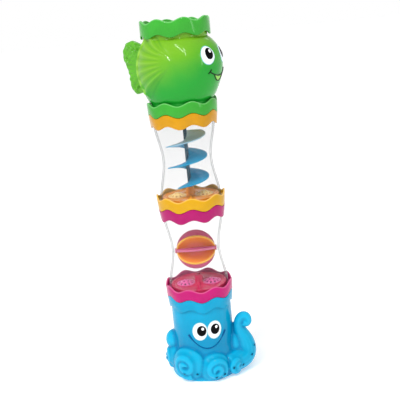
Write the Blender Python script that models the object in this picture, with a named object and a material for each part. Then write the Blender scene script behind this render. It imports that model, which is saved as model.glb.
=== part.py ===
"""Stacking bath and sand tower: an octopus cup, two clear waisted tubes and a fish cup.

Metres, +Z up. The origin is the middle of the octopus's flat underside. A bearing is an
angle about Z from the front (-Y) towards +X, so the face of the octopus has a bearing near 0.
"""

import math

import bmesh
import bpy
from mathutils import Matrix, Vector

MM = 0.001

# Heights. Each piece stands on the one below at a junction.
MODULE = 90 * MM
JUNCTION_OCTOPUS = 83 * MM
JUNCTION_WHEEL = JUNCTION_OCTOPUS + MODULE
JUNCTION_SCREW = JUNCTION_WHEEL + MODULE
FISH_TOP = JUNCTION_SCREW + 86 * MM

# Crowns: the wavy skirts and collars that nest at each junction.
SKIRT_RADIUS = 33.5 * MM
COLLAR_RADIUS = 32.8 * MM
CROWN_HEIGHT = 11 * MM
SKIRT_WALL = 1.6 * MM
COLLAR_WALL = 1.8 * MM
WAVES = 8
WAVE_HEIGHT = 1.8 * MM
TOP_BEARING = math.radians(15)
SCREW_BEARING = math.radians(15.8)
WHEEL_BEARING = math.radians(0.6)
OCTOPUS_BEARING = math.radians(-18.8)

# The spigot of each collar fills the socket under the ledge of the skirt above it.
SPIGOT_RADIUS = 30.9 * MM
SPIGOT_HEIGHT = 5 * MM
SOCKET_RADIUS = 31.3 * MM
LEDGE_BOTTOM = 5.3 * MM
LEDGE_TOP = 6.8 * MM
LEDGE_INNER = 25.5 * MM
SEAT_DEPTH = 6 * MM
SEAT_RISE = 1 * MM

GAP = 0.3 * MM

# Clear tubes.
TUBE_END = 29.7 * MM
TUBE_WAIST = 24.2 * MM
TUBE_WALL = 1.4 * MM
WAIST_HEIGHT = 45.5 * MM
WAIST_REACH = 38 * MM
TUBE_BOTTOM = LEDGE_TOP + GAP
TUBE_TOP = MODULE - SEAT_RISE
FLARE_RINGS = 4

# Sieve discs, which stand on the ledges.
SIEVE_RADIUS = 27.6 * MM
SIEVE_THICKNESS = 2 * MM
SIEVE_TOP = TUBE_BOTTOM + SIEVE_THICKNESS
HUB_TOP = 17.5 * MM
HUB_RADIUS = 5 * MM
HUB_TAPER = 0.7
SINK = 1 * MM
WINDOW_OFFSET = 13 * MM
HOLE_RING = 5 * MM
HOLE_RADIUS = 1.3 * MM
HOLES_IN_RING = 5
RIB_WIDTH = 3.2 * MM
RIB_HEIGHT = 3 * MM
RIB_SHARE = 0.9

# Water screw.
SHAFT_RADIUS = 1.8 * MM
BORE_RADIUS = 1.9 * MM
FLIGHT_RADIUS = 19.6 * MM
FLIGHT_THICKNESS = 1.4 * MM
FLIGHT_PITCH = 20.6 * MM
FLIGHT_TOP = JUNCTION_WHEEL + 71.5 * MM
FLIGHT_TOP_BEARING = math.radians(125)
FLIGHT_SWEEP = math.radians(880)
FLIGHT_STEP = math.radians(20)
SHAFT_BOTTOM = JUNCTION_WHEEL + 12 * MM
SHAFT_TOP = JUNCTION_SCREW + 3.8 * MM
SPIDER_RADIUS = 27.9 * MM
SPIDER_RIM = 2.4 * MM
SPIDER_BOTTOM = JUNCTION_SCREW + 0.8 * MM
SPIDER_TOP = JUNCTION_SCREW + 3.4 * MM
SPIDER_ARM_WIDTH = 3 * MM
SPIDER_ARM_HEIGHT = 2.2 * MM
SPIDER_HUB_RADIUS = 4.5 * MM
SPIDER_ARMS = 3

# Paddle wheel: discs that share the left-right axle.
WHEEL_CENTRE = JUNCTION_OCTOPUS + 43.6 * MM
WHEEL_RADIUS = 19.4 * MM
WHEEL_TURN = math.radians(13)
PADDLE_THICKNESS = 2 * MM
WHEEL_HUB_RADIUS = 2.7 * MM
WHEEL_HUB_REACH = 20.6 * MM
AXLE_RADIUS = 1.2 * MM
AXLE_REACH = 22.2 * MM
AXLE_BORE = 1.5 * MM
CUP_BORE = 1.28 * MM
CUP_RADIUS = 3 * MM
CUP_INNER = 20.9 * MM
CUP_OUTER = 22.2 * MM

# Fish.
FISH_BEARING = math.radians(65)
FISH_RADIUS = 40 * MM
FISH_LEAN = 2.2 * MM
FISH_MIDDLE = JUNCTION_SCREW + 44.5 * MM
FISH_TILT = 3.5 * MM
FISH_SHOULDER = JUNCTION_SCREW + 68 * MM
FISH_FOOT = JUNCTION_SCREW + 11.5 * MM
FISH_FULLNESS = 0.8
RIM_HEIGHT = 14 * MM
RIM_LEDGE = 10 * MM
RIM_LEDGE_HEIGHT = 2 * MM
FISH_NECK_TOP = FISH_TOP - RIM_LEDGE - GAP
TAIL_THICKNESS = 10 * MM
TAIL_BEVEL = 3 * MM
FISH_EYE_RADIUS = 8 * MM
FISH_EYE_SPREAD = math.radians(23)
FISH_EYE_HEIGHT = JUNCTION_SCREW + 53 * MM

# Octopus.
OCTOPUS_FACE = math.radians(6.5)
HEAD_RADIUS = 30 * MM
HEAD_WALL = 2.2 * MM
HEAD_TOP = JUNCTION_OCTOPUS - SEAT_DEPTH - GAP
HEAD_SHOULDER = HEAD_TOP - 8 * MM
HEAD_NECK = HEAD_TOP - 6 * MM
FLOOR_THICKNESS = 3 * MM
OCTOPUS_EYE_WIDTH = 7 * MM
OCTOPUS_EYE_HEIGHT = 9.4 * MM
OCTOPUS_EYE_LEVEL = 52.5 * MM
OCTOPUS_EYE_SPREAD = math.radians(17)
EYE_DOME = 1.5 * MM

CROWN_SIDES = 40
TUBE_SIDES = 28
FISH_ROWS = 10
FISH_COLUMNS = 15


def clear_scene():
    for obj in list(bpy.data.objects):
        bpy.data.objects.remove(obj, do_unlink=True)


def plastic(name, colour, roughness=0.25, alpha=1.0):
    material = bpy.data.materials.new(name)
    material.use_nodes = True
    shader = material.node_tree.nodes["Principled BSDF"]
    shader.inputs["Base Color"].default_value = (*colour, 1.0)
    shader.inputs["Roughness"].default_value = roughness
    shader.inputs["Metallic"].default_value = 0.0
    shader.inputs["Alpha"].default_value = alpha
    return material


def add_object(name, mesh, material=None, location=(0, 0, 0)):
    obj = bpy.data.objects.new(name, mesh)
    obj.location = location
    bpy.context.scene.collection.objects.link(obj)
    if material:
        mesh.materials.append(material)
    return obj


def mesh_of(name, shape, smooth=True):
    """Closes a bmesh off into a mesh whose faces point out."""
    bmesh.ops.recalc_face_normals(shape, faces=shape.faces)
    mesh = bpy.data.meshes.new(name)
    shape.to_mesh(mesh)
    shape.free()
    if smooth:
        mesh.shade_smooth()
        mesh.set_sharp_from_angle(angle=math.radians(35))
    return mesh


def at_bearing(bearing, radius, height):
    return Vector((radius * math.sin(bearing), -radius * math.cos(bearing), height))


def wave(bearing, phase):
    return WAVE_HEIGHT * math.cos(WAVES * (bearing - phase))


def turned(name, outline, sides):
    """Turns a closed outline about Z. outline(bearing) gives its (radius, height) corners."""
    shape = bmesh.new()
    rings = []
    for step in range(sides):
        bearing = 2 * math.pi * step / sides
        rings.append([shape.verts.new(at_bearing(bearing, *corner)) for corner in outline(bearing)])
    corners = len(rings[0])
    for step in range(sides):
        here, there = rings[step], rings[(step + 1) % sides]
        for corner in range(corners):
            after = (corner + 1) % corners
            shape.faces.new((here[corner], there[corner], there[after], here[after]))
    return mesh_of(name, shape)


def cylinder(name, radius, bottom, top, sides=24, top_radius=None):
    shape = bmesh.new()
    bmesh.ops.create_cone(
        shape,
        cap_ends=True,
        segments=sides,
        radius1=radius,
        radius2=radius if top_radius is None else top_radius,
        depth=top - bottom,
        matrix=Matrix.Translation((0, 0, (top + bottom) / 2)),
    )
    return mesh_of(name, shape)


def prism(name, outline, thickness):
    """Extrudes a flat outline in X and Z to a plate whose middle is at Y = 0."""
    shape = bmesh.new()
    near = [shape.verts.new((x, -thickness / 2, z)) for x, z in outline]
    face = shape.faces.new(near)
    extruded = bmesh.ops.extrude_face_region(shape, geom=[face])
    far = [item for item in extruded["geom"] if isinstance(item, bmesh.types.BMVert)]
    bmesh.ops.translate(shape, verts=far, vec=(0, thickness, 0))
    return shape


def helper(name, mesh, matrix=None):
    """A cutter or a piece to be joined on, which isn't a node of its own."""
    if matrix is not None:
        mesh.transform(matrix)
    obj = add_object(name, mesh)
    obj.hide_render = True
    obj.display_type = "WIRE"
    return obj


def boolean(obj, other, operation):
    modifier = obj.modifiers.new(other.name, "BOOLEAN")
    modifier.operation = operation
    modifier.solver = "EXACT"
    modifier.object = other


# Crowns


def make_skirt(name, junction, phase, material):
    """Wavy crown with a socket below its ledge and a well above it."""

    def outline(bearing):
        swell = wave(bearing, phase)
        low = junction + swell + GAP / 2
        high = junction + CROWN_HEIGHT + swell
        return [
            (SKIRT_RADIUS, low),
            (SKIRT_RADIUS, high),
            (SKIRT_RADIUS - SKIRT_WALL, high),
            (SKIRT_RADIUS - SKIRT_WALL, junction + LEDGE_TOP),
            (LEDGE_INNER, junction + LEDGE_TOP),
            (LEDGE_INNER, junction + LEDGE_BOTTOM),
            (SOCKET_RADIUS, junction + LEDGE_BOTTOM),
            (SOCKET_RADIUS, low),
        ]

    return add_object(name, turned(name, outline, CROWN_SIDES), material)


def make_collar(name, junction, phase, material):
    """Wavy collar with a spigot above it, and a seat inside for the wall below."""
    seat_radius = TUBE_END + GAP / 2
    lip_radius = TUBE_END - TUBE_WALL
    seat_bottom = junction - SEAT_DEPTH
    seat_top = junction - SEAT_RISE + GAP

    def outline(bearing):
        swell = wave(bearing, phase)
        shoulder = junction + swell - GAP / 2
        low = junction - CROWN_HEIGHT + swell
        return [
            (COLLAR_RADIUS, low),
            (COLLAR_RADIUS, shoulder),
            (SPIGOT_RADIUS, shoulder),
            (SPIGOT_RADIUS, junction + SPIGOT_HEIGHT),
            (lip_radius, junction + SPIGOT_HEIGHT),
            (lip_radius, seat_top),
            (seat_radius, seat_top),
            (seat_radius, seat_bottom),
            (COLLAR_RADIUS - COLLAR_WALL, seat_bottom),
            (COLLAR_RADIUS - COLLAR_WALL, low),
        ]

    return add_object(name, turned(name, outline, CROWN_SIDES), material)


# Tubes and sieves


def flare(height):
    """Outer radius of a clear tube at a height above its junction."""
    reach = min(1.0, abs(height - WAIST_HEIGHT) / WAIST_REACH)
    return TUBE_WAIST + (TUBE_END - TUBE_WAIST) * (1 - math.cos(math.pi * reach)) / 2


def make_tube(name, junction, material):
    first = WAIST_HEIGHT - WAIST_REACH
    last = WAIST_HEIGHT + WAIST_REACH
    steps = 2 * FLARE_RINGS
    levels = [TUBE_BOTTOM]
    levels += [first + (last - first) * step / steps for step in range(1, steps)]
    levels += [last, TUBE_TOP]

    def outline(_bearing):
        outer = [(flare(level), junction + level) for level in levels]
        return outer + [(radius - TUBE_WALL, height) for radius, height in reversed(outer)]

    return add_object(name, turned(name, outline, TUBE_SIDES), material)


def make_sieve(name, junction, material, holds_shaft):
    """Disc with a hub, a rib and two windows of small holes."""
    disc = add_object(
        name,
        cylinder(name, SIEVE_RADIUS, junction + TUBE_BOTTOM, junction + SIEVE_TOP, TUBE_SIDES),
        material,
    )
    hub = cylinder(
        name + "_hub",
        HUB_RADIUS,
        junction + SIEVE_TOP - SINK,
        junction + HUB_TOP,
        16,
        HUB_TAPER * HUB_RADIUS,
    )
    boolean(disc, helper(name + "_hub", hub), "UNION")
    rib = bmesh.new()
    bmesh.ops.create_cube(rib, size=1)
    rib_mesh = mesh_of(name + "_rib", rib, smooth=False)
    size = Matrix.Diagonal((RIB_WIDTH, RIB_SHARE * 2 * SIEVE_RADIUS, RIB_HEIGHT + SINK, 1))
    place = Matrix.Translation((0, 0, junction + SIEVE_TOP + (RIB_HEIGHT - SINK) / 2))
    boolean(disc, helper(name + "_rib", rib_mesh, place @ size), "UNION")
    boolean(disc, make_hole_cutter(name, junction), "DIFFERENCE")
    if holds_shaft:
        bore = cylinder(name + "_bore", BORE_RADIUS, SHAFT_BOTTOM - GAP, junction + 2 * HUB_TOP, 24)
        boolean(disc, helper(name + "_bore", bore), "DIFFERENCE")
    return disc


def make_hole_cutter(name, junction):
    shape = bmesh.new()
    for side in (-1, 1):
        spots = [(0, 0)]
        for step in range(HOLES_IN_RING):
            turn = 2 * math.pi * step / HOLES_IN_RING
            spots.append((HOLE_RING * math.cos(turn), HOLE_RING * math.sin(turn)))
        for x, y in spots:
            bmesh.ops.create_cone(
                shape,
                cap_ends=True,
                segments=6,
                radius1=HOLE_RADIUS,
                radius2=HOLE_RADIUS,
                depth=3 * SIEVE_THICKNESS,
                matrix=Matrix.Translation((side * WINDOW_OFFSET + x, y, junction + TUBE_BOTTOM)),
            )
    return helper(name + "_holes", mesh_of(name + "_holes", shape))


# Water screw


def make_flight_strip():
    """Right-handed helical strip, which starts inside the shaft."""
    shape = bmesh.new()
    steps = round(FLIGHT_SWEEP / FLIGHT_STEP)
    sections = []
    for step in range(steps + 1):
        turn = FLIGHT_SWEEP * step / steps
        bearing = FLIGHT_TOP_BEARING - turn
        height = FLIGHT_TOP - FLIGHT_PITCH * turn / (2 * math.pi)
        half = FLIGHT_THICKNESS / 2
        corners = [
            (0.5 * SHAFT_RADIUS, height - half),
            (FLIGHT_RADIUS, height - half),
            (FLIGHT_RADIUS, height + half),
            (0.5 * SHAFT_RADIUS, height + half),
        ]
        sections.append([shape.verts.new(at_bearing(bearing, *corner)) for corner in corners])
    for here, there in zip(sections, sections[1:]):
        for corner in range(4):
            after = (corner + 1) % 4
            shape.faces.new((here[corner], there[corner], there[after], here[after]))
    shape.faces.new(sections[0])
    shape.faces.new(list(reversed(sections[-1])))
    return mesh_of("flight_strip", shape)


def make_water_screw(material):
    shaft = cylinder("water_screw", SHAFT_RADIUS, SHAFT_BOTTOM, SHAFT_TOP, 16)
    screw = add_object("water_screw", shaft, material)
    boolean(screw, helper("flight_strip", make_flight_strip()), "UNION")
    return screw


def make_bearing_spider(material):
    """Hub on three arms that steadies the top of the screw's shaft."""
    name = "bearing_spider"
    bottom, top = SPIDER_BOTTOM, SPIDER_TOP

    def outline(_bearing):
        inner = SPIDER_RADIUS - SPIDER_RIM
        return [(SPIDER_RADIUS, bottom), (SPIDER_RADIUS, top), (inner, top), (inner, bottom)]

    spider = add_object(name, turned(name, outline, TUBE_SIDES), material)
    for arm in range(SPIDER_ARMS):
        shape = bmesh.new()
        bmesh.ops.create_cube(shape, size=1)
        bar = mesh_of(f"spider_arm_{arm + 1}", shape, smooth=False)
        reach = SPIDER_RADIUS - SPIDER_RIM / 2
        size = Matrix.Diagonal((SPIDER_ARM_WIDTH, reach, SPIDER_ARM_HEIGHT, 1))
        out = Matrix.Translation((0, -reach / 2, (bottom + top) / 2))
        turn = Matrix.Rotation(2 * math.pi * arm / SPIDER_ARMS, 4, "Z")
        boolean(spider, helper(bar.name, bar, turn @ out @ size), "UNION")
    hub = cylinder("spider_hub", SPIDER_HUB_RADIUS, bottom, top, 18)
    boolean(spider, helper("spider_hub", hub), "UNION")
    bore = cylinder("spider_bore", BORE_RADIUS, JUNCTION_SCREW, JUNCTION_SCREW + CROWN_HEIGHT, 24)
    boolean(spider, helper("spider_bore", bore), "DIFFERENCE")
    return spider


# Paddle wheel


def make_paddle_rotor(hinge, material):
    """Two crossed discs on a hub along X."""
    name = "paddle_rotor"
    along_x = Matrix.Rotation(math.pi / 2, 4, "Y")
    hub = cylinder(name, WHEEL_HUB_RADIUS, -WHEEL_HUB_REACH, WHEEL_HUB_REACH, 20)
    hub.transform(along_x)
    rotor = add_object(name, hub, material)
    rotor.parent = hinge
    half = PADDLE_THICKNESS / 2
    for number, turn in enumerate((0, math.pi / 2)):
        disc = cylinder(f"rotor_disc_{number + 1}", WHEEL_RADIUS, -half, half, 32)
        disc_turn = Matrix.Rotation(-(WHEEL_TURN + turn), 4, "X")
        cutter = helper(disc.name, disc, disc_turn)
        cutter.parent = hinge
        boolean(rotor, cutter, "UNION")
    bore = cylinder("rotor_bore", AXLE_BORE, -2 * WHEEL_RADIUS, 2 * WHEEL_RADIUS, 16)
    cutter = helper("rotor_bore", bore, along_x)
    cutter.parent = hinge
    boolean(rotor, cutter, "DIFFERENCE")
    return rotor


def make_paddle(number, hinge, material):
    """Half disc that slots in between the rotor's discs."""
    name = f"orange_paddle_{number}"
    foot = WHEEL_HUB_RADIUS + GAP
    start = math.asin(foot / WHEEL_RADIUS)
    steps = 14
    outline = []
    for step in range(steps + 1):
        angle = start + (math.pi - 2 * start) * step / steps
        outline.append((WHEEL_RADIUS * math.cos(angle), WHEEL_RADIUS * math.sin(angle)))
    mesh = mesh_of(name, prism(name, outline, PADDLE_THICKNESS))
    elevation = WHEEL_TURN + math.radians(45 + 90 * (number - 1))
    mesh.transform(Matrix.Rotation(math.pi / 2 - elevation, 4, "X"))
    paddle = add_object(name, mesh, material)
    paddle.parent = hinge


def make_bearing_cup(name, side, material):
    """Short ring inside the wall of the tube that carries one end of the axle."""

    def outline(_bearing):
        return [
            (CUP_RADIUS, CUP_INNER),
            (CUP_RADIUS, CUP_OUTER),
            (CUP_BORE, CUP_OUTER),
            (CUP_BORE, CUP_INNER),
        ]

    mesh = turned(name, outline, 20)
    mesh.transform(Matrix.Rotation(side * math.pi / 2, 4, "Y"))
    return add_object(name, mesh, material, (0, 0, WHEEL_CENTRE))


def make_wheel(materials):
    hinge = bpy.data.objects.new("wheel_hinge", None)
    hinge.location = (0, 0, WHEEL_CENTRE)
    bpy.context.scene.collection.objects.link(hinge)
    make_paddle_rotor(hinge, materials["pink_paddles"])
    for number in range(1, 5):
        make_paddle(number, hinge, materials["orange_paddles"])
    axle_mesh = cylinder("wheel_axle", AXLE_RADIUS, -AXLE_REACH, AXLE_REACH, 16)
    axle_mesh.transform(Matrix.Rotation(math.pi / 2, 4, "Y"))
    axle = add_object("wheel_axle", axle_mesh, materials["axle"])
    axle.parent = hinge
    make_bearing_cup("left_bearing_cup", -1, materials["clear"])
    make_bearing_cup("right_bearing_cup", 1, materials["clear"])


# Fish


def fish_radius(bearing, height):
    """Outer radius of the fish: it bulges forwards and upwards at the face."""
    facing = math.cos(bearing - FISH_BEARING)
    middle = FISH_MIDDLE + FISH_TILT * facing
    limit = FISH_SHOULDER if height > middle else FISH_FOOT
    reach = min(1.0, (height - middle) / (limit - middle))
    bulge = math.cos(math.pi / 2 * reach) ** FISH_FULLNESS if reach < 1 else 0.0
    return TUBE_END + (FISH_RADIUS + FISH_LEAN * facing - TUBE_END) * bulge


def make_fish_shell(name, start_bearing, material):
    """Half of the fish's hollow body, split along the face and the tail."""
    shape = bmesh.new()
    columns, rows = FISH_COLUMNS, FISH_ROWS
    bottom = JUNCTION_SCREW + TUBE_BOTTOM
    clearance = GAP / 2 / TUBE_END
    grids = []
    for inset in (0, TUBE_WALL):
        grid = []
        for column in range(columns + 1):
            share = column / columns
            bearing = start_bearing + clearance + (math.pi - 2 * clearance) * share
            line = []
            for row in range(rows + 1):
                height = bottom + (FISH_NECK_TOP - bottom) * row / rows
                radius = fish_radius(bearing, height) - inset
                line.append(shape.verts.new(at_bearing(bearing, radius, height)))
            grid.append(line)
        grids.append(grid)
    outer, inner = grids
    for grid in grids:
        for here, there in zip(grid, grid[1:]):
            for row in range(rows):
                shape.faces.new((here[row], there[row], there[row + 1], here[row + 1]))
    for column in range(columns):
        for row in (0, rows):
            corners = (outer[column], outer[column + 1], inner[column + 1], inner[column])
            shape.faces.new([line[row] for line in corners])
    for column in (0, columns):
        for row in range(rows):
            outside, inside = outer[column], inner[column]
            shape.faces.new((outside[row], outside[row + 1], inside[row + 1], inside[row]))
    return add_object(name, mesh_of(name, shape), material)


def make_fish_core():
    """The fish's body as one solid, a gap larger all round, to cut what is fixed on it."""
    shape = bmesh.new()
    rows, sides = FISH_ROWS, 2 * FISH_COLUMNS
    bottom, top = JUNCTION_SCREW + TUBE_BOTTOM, FISH_NECK_TOP
    rings = []
    for row in range(rows + 1):
        height = bottom + (top - bottom) * row / rows
        ring = []
        for step in range(sides):
            bearing = FISH_BEARING + 2 * math.pi * step / sides
            radius = fish_radius(bearing, height) + GAP
            ring.append(shape.verts.new(at_bearing(bearing, radius, height)))
        rings.append(ring)
    for here, there in zip(rings, rings[1:]):
        for step in range(sides):
            after = (step + 1) % sides
            shape.faces.new((here[step], here[after], there[after], there[step]))
    shape.faces.new(list(reversed(rings[0])))
    shape.faces.new(rings[-1])
    return helper("fish_core", mesh_of("fish_core", shape))


def make_tail(core, material):
    """Thick tail with two lobes, in the plane opposite the face."""
    name = "fish_tail"
    # Radius and height above the junction, from the top of the root round the two lobes.
    outline = [
        (30, 64), (38, 68), (46, 71), (53, 69), (57, 62), (57.5, 55),
        (55, 48), (52.5, 40), (52.5, 31), (51, 23), (46, 18.5), (38, 20), (32, 25),
    ]
    corners = [(radius * MM, JUNCTION_SCREW + height * MM) for radius, height in outline]
    shape = prism(name, corners, TAIL_THICKNESS)
    # The plate lies along +X, and a bearing of zero is -Y.
    tail_bearing = FISH_BEARING + math.pi
    mesh = mesh_of(name, shape)
    mesh.transform(Matrix.Rotation(tail_bearing - math.pi / 2, 4, "Z"))
    tail = add_object(name, mesh, material)
    bevel = tail.modifiers.new("round_edges", "BEVEL")
    bevel.width = TAIL_BEVEL
    bevel.segments = 2
    bevel.limit_method = "ANGLE"
    bevel.angle_limit = math.radians(60)
    boolean(tail, core, "DIFFERENCE")
    return tail


def make_eye(name, bearing, distance, height, half_width, half_height, core, material):
    """Shallow oval dome on a rounded wall, the outer quarter of a flattened ball."""
    shape = bmesh.new()
    bmesh.ops.create_uvsphere(shape, u_segments=20, v_segments=10, radius=1)
    mesh = mesh_of(name, shape)
    shown = math.sqrt(1 - 0.75**2)
    size = Matrix.Diagonal((half_width / shown, 4 * EYE_DOME, half_height / shown, 1))
    turn = Matrix.Rotation(bearing, 4, "Z")
    place = Matrix.Translation(at_bearing(bearing, distance - 3 * EYE_DOME, height))
    mesh.transform(place @ turn @ size)
    eye = add_object(name, mesh, material)
    boolean(eye, core, "DIFFERENCE")
    return eye


def make_fish_rim(material):
    """Open crown at the top of the fish, with a ledge over the shells' neck."""
    name = "fish_rim"
    inner = COLLAR_RADIUS - COLLAR_WALL
    ledge = FISH_TOP - RIM_LEDGE
    lip_radius = TUBE_END - TUBE_WALL

    def outline(bearing):
        swell = wave(bearing, TOP_BEARING)
        low = FISH_TOP - RIM_HEIGHT + swell
        high = FISH_TOP + swell
        return [
            (COLLAR_RADIUS, low),
            (COLLAR_RADIUS, high),
            (inner, high),
            (inner, ledge + RIM_LEDGE_HEIGHT),
            (lip_radius, ledge + RIM_LEDGE_HEIGHT),
            (lip_radius, ledge),
            (inner, ledge),
            (inner, low),
        ]

    return add_object(name, turned(name, outline, CROWN_SIDES), material)


def make_fish(materials):
    make_fish_rim(materials["fish"])
    make_fish_shell("fish_right_shell", FISH_BEARING - math.pi, materials["fish"])
    make_fish_shell("fish_left_shell", FISH_BEARING, materials["fish"])
    core = make_fish_core()
    make_tail(core, materials["fish"])
    for name, side in (("fish_right_eye", -1), ("fish_left_eye", 1)):
        bearing = FISH_BEARING + side * FISH_EYE_SPREAD
        distance = fish_radius(bearing, FISH_EYE_HEIGHT)
        make_eye(
            name,
            bearing,
            distance,
            FISH_EYE_HEIGHT,
            FISH_EYE_RADIUS,
            1.1 * FISH_EYE_RADIUS,
            core,
            materials["eye"],
        )
    make_skirt("fish_skirt", JUNCTION_SCREW, SCREW_BEARING, materials["fish"])
    make_sieve("fish_sieve", JUNCTION_SCREW, materials["fish"], holds_shaft=False)


# Octopus


def ball(name, centre, half_sizes, bearing=0.0, columns=14, rows=8):
    shape = bmesh.new()
    bmesh.ops.create_uvsphere(shape, u_segments=columns, v_segments=rows, radius=1)
    mesh = mesh_of(name, shape)
    size = Matrix.Diagonal((*half_sizes, 1))
    mesh.transform(Matrix.Translation(centre) @ Matrix.Rotation(bearing, 4, "Z") @ size)
    return mesh


def tapered_tube(name, centres, radii, sides=10):
    """Tube through the centres, with a radius at each, closed at both ends."""
    shape = bmesh.new()
    rings = []
    for index, (centre, radius) in enumerate(zip(centres, radii)):
        before = centres[max(index - 1, 0)]
        after = centres[min(index + 1, len(centres) - 1)]
        along = (after - before).normalized()
        side = Vector((0, 1, 0))
        up = along.cross(side).normalized()
        ring = []
        for step in range(sides):
            turn = 2 * math.pi * step / sides
            spot = centre + radius * (math.cos(turn) * side + math.sin(turn) * up)
            ring.append(shape.verts.new(spot))
        rings.append(ring)
    for here, there in zip(rings, rings[1:]):
        for step in range(sides):
            after = (step + 1) % sides
            shape.faces.new((here[step], here[after], there[after], there[step]))
    shape.faces.new(list(reversed(rings[0])))
    shape.faces.new(rings[-1])
    return mesh_of(name, shape)


def make_tentacles(core, material):
    """Ring of eight rolled tentacles round the foot, one of them raised as a waving arm."""
    name = "octopus_tentacles"
    ring_radius, ring_height = 36 * MM, 10 * MM
    inner = HEAD_RADIUS - 3 * MM

    def outline(_bearing):
        floor = -2 * MM
        return [(ring_radius, floor), (ring_radius, ring_height), (inner, ring_height), (inner, floor)]

    ring = add_object(name, turned(name, outline, TUBE_SIDES), material)
    # Bearing in degrees, then distance, height of the centre, and half sizes across, out and up.
    lobes = [
        (-34, 30, 17, 15, 12.5, 17.3),
        (20, 31, 13, 13.5, 12, 13.3),
        (64, 35, 12, 14, 14, 12.3),
        (118, 31, 13, 13, 12, 13.3),
        (160, 31, 13, 13, 12, 13.3),
        (203, 31, 13, 13, 12, 13.3),
        (243, 31, 13, 13, 12, 13.3),
        (278, 31, 15, 11, 11.5, 15.3),
    ]
    for number, (degrees, distance, height, across, out, up) in enumerate(lobes, 1):
        bearing = math.radians(degrees)
        centre = at_bearing(bearing, distance * MM, height * MM)
        lobe = ball(f"tentacle_{number}", centre, (across * MM, out * MM, up * MM), bearing)
        boolean(ring, helper(lobe.name, lobe), "UNION")
    arm_points = [(30, 10, 11), (41, 14, 10.5), (44, 24, 8.5), (39.5, 34, 6), (37.5, 43, 5.5), (40, 50, 5)]
    depth = -8 * MM
    centres = [Vector((x * MM, depth, z * MM)) for x, z, _radius in arm_points]
    radii = [radius * MM for _x, _z, radius in arm_points]
    boolean(ring, helper("arm", tapered_tube("arm", centres, radii)), "UNION")
    fist = ball("arm_tip", Vector((42 * MM, depth, 51 * MM)), (8.5 * MM, 7.5 * MM, 8.5 * MM))
    boolean(ring, helper("arm_tip", fist), "UNION")
    curl = ball("left_tip", Vector((-33 * MM, 4 * MM, 29 * MM)), (7 * MM, 7 * MM, 7.5 * MM))
    boolean(ring, helper("left_tip", curl), "UNION")
    boolean(ring, core, "DIFFERENCE")
    below = cylinder("below_floor", 90 * MM, -30 * MM, 0, 24)
    boolean(ring, helper("below_floor", below), "DIFFERENCE")
    return ring


def make_head(material):
    name = "octopus_head"

    def outline(_bearing):
        inner = HEAD_RADIUS - HEAD_WALL
        return [
            (HEAD_RADIUS, 0),
            (HEAD_RADIUS, HEAD_SHOULDER),
            (TUBE_END, HEAD_NECK),
            (TUBE_END, JUNCTION_OCTOPUS - SEAT_RISE),
            (TUBE_END - TUBE_WALL, JUNCTION_OCTOPUS - SEAT_RISE),
            (inner, HEAD_SHOULDER),
            (inner, 0),
        ]

    return add_object(name, turned(name, outline, TUBE_SIDES), material)


def make_octopus(materials):
    make_collar("octopus_collar", JUNCTION_OCTOPUS, OCTOPUS_BEARING, materials["octopus"])
    make_head(materials["octopus"])
    floor_radius = HEAD_RADIUS - HEAD_WALL - GAP
    floor_plate = cylinder("octopus_floor", floor_radius, 0, FLOOR_THICKNESS, TUBE_SIDES)
    add_object("octopus_floor", floor_plate, materials["octopus"])
    core = helper("head_core", cylinder("head_core", HEAD_RADIUS + GAP, -20 * MM, HEAD_TOP, 64))
    make_tentacles(core, materials["octopus"])
    for name, side in (("octopus_right_eye", -1), ("octopus_left_eye", 1)):
        make_eye(
            name,
            OCTOPUS_FACE + side * OCTOPUS_EYE_SPREAD,
            HEAD_RADIUS,
            OCTOPUS_EYE_LEVEL,
            OCTOPUS_EYE_WIDTH,
            OCTOPUS_EYE_HEIGHT,
            core,
            materials["eye"],
        )


def main():
    clear_scene()
    clear = plastic("clear_plastic", (0.9, 0.92, 0.93), roughness=0.05, alpha=0.3)
    materials = {
        "clear": clear,
        "fish": plastic("green_plastic", (0.11, 0.50, 0.06)),
        "orange": plastic("orange_plastic", (0.80, 0.40, 0.02)),
        "yellow": plastic("yellow_plastic", (0.83, 0.46, 0.01)),
        "magenta": plastic("magenta_plastic", (0.56, 0.02, 0.22)),
        "pink": plastic("pink_plastic", (0.64, 0.03, 0.24)),
        "octopus": plastic("blue_plastic", (0.0, 0.40, 0.68)),
        "screw": plastic("screw_plastic", (0.0, 0.21, 0.37)),
        "pink_paddles": plastic("paddle_pink_plastic", (0.50, 0.10, 0.20)),
        "orange_paddles": plastic("paddle_orange_plastic", (0.74, 0.32, 0.03)),
        "axle": plastic("axle_plastic", (0.45, 0.12, 0.25)),
        "eye": plastic("eye_white_plastic", (0.9, 0.9, 0.9)),
    }
    make_octopus(materials)

    make_skirt("wheel_tube_skirt", JUNCTION_OCTOPUS, OCTOPUS_BEARING, materials["pink"])
    make_sieve("wheel_tube_sieve", JUNCTION_OCTOPUS, materials["pink"], holds_shaft=False)
    make_tube("wheel_tube", JUNCTION_OCTOPUS, clear)
    make_collar("wheel_tube_collar", JUNCTION_WHEEL, WHEEL_BEARING, materials["magenta"])
    make_wheel(materials)

    make_skirt("screw_tube_skirt", JUNCTION_WHEEL, WHEEL_BEARING, materials["yellow"])
    make_sieve("screw_tube_sieve", JUNCTION_WHEEL, materials["yellow"], holds_shaft=True)
    make_tube("screw_tube", JUNCTION_WHEEL, clear)
    make_collar("screw_tube_collar", JUNCTION_SCREW, SCREW_BEARING, materials["orange"])
    make_water_screw(materials["screw"])
    make_bearing_spider(materials["orange"])

    make_fish(materials)


main()
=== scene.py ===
"""Detailed pieces of a stacking bath and sand tower: fish cup, two clear tubes, octopus cup."""

import math

import bpy
from mathutils import Matrix, Vector
from mathutils.bvhtree import BVHTree


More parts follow.
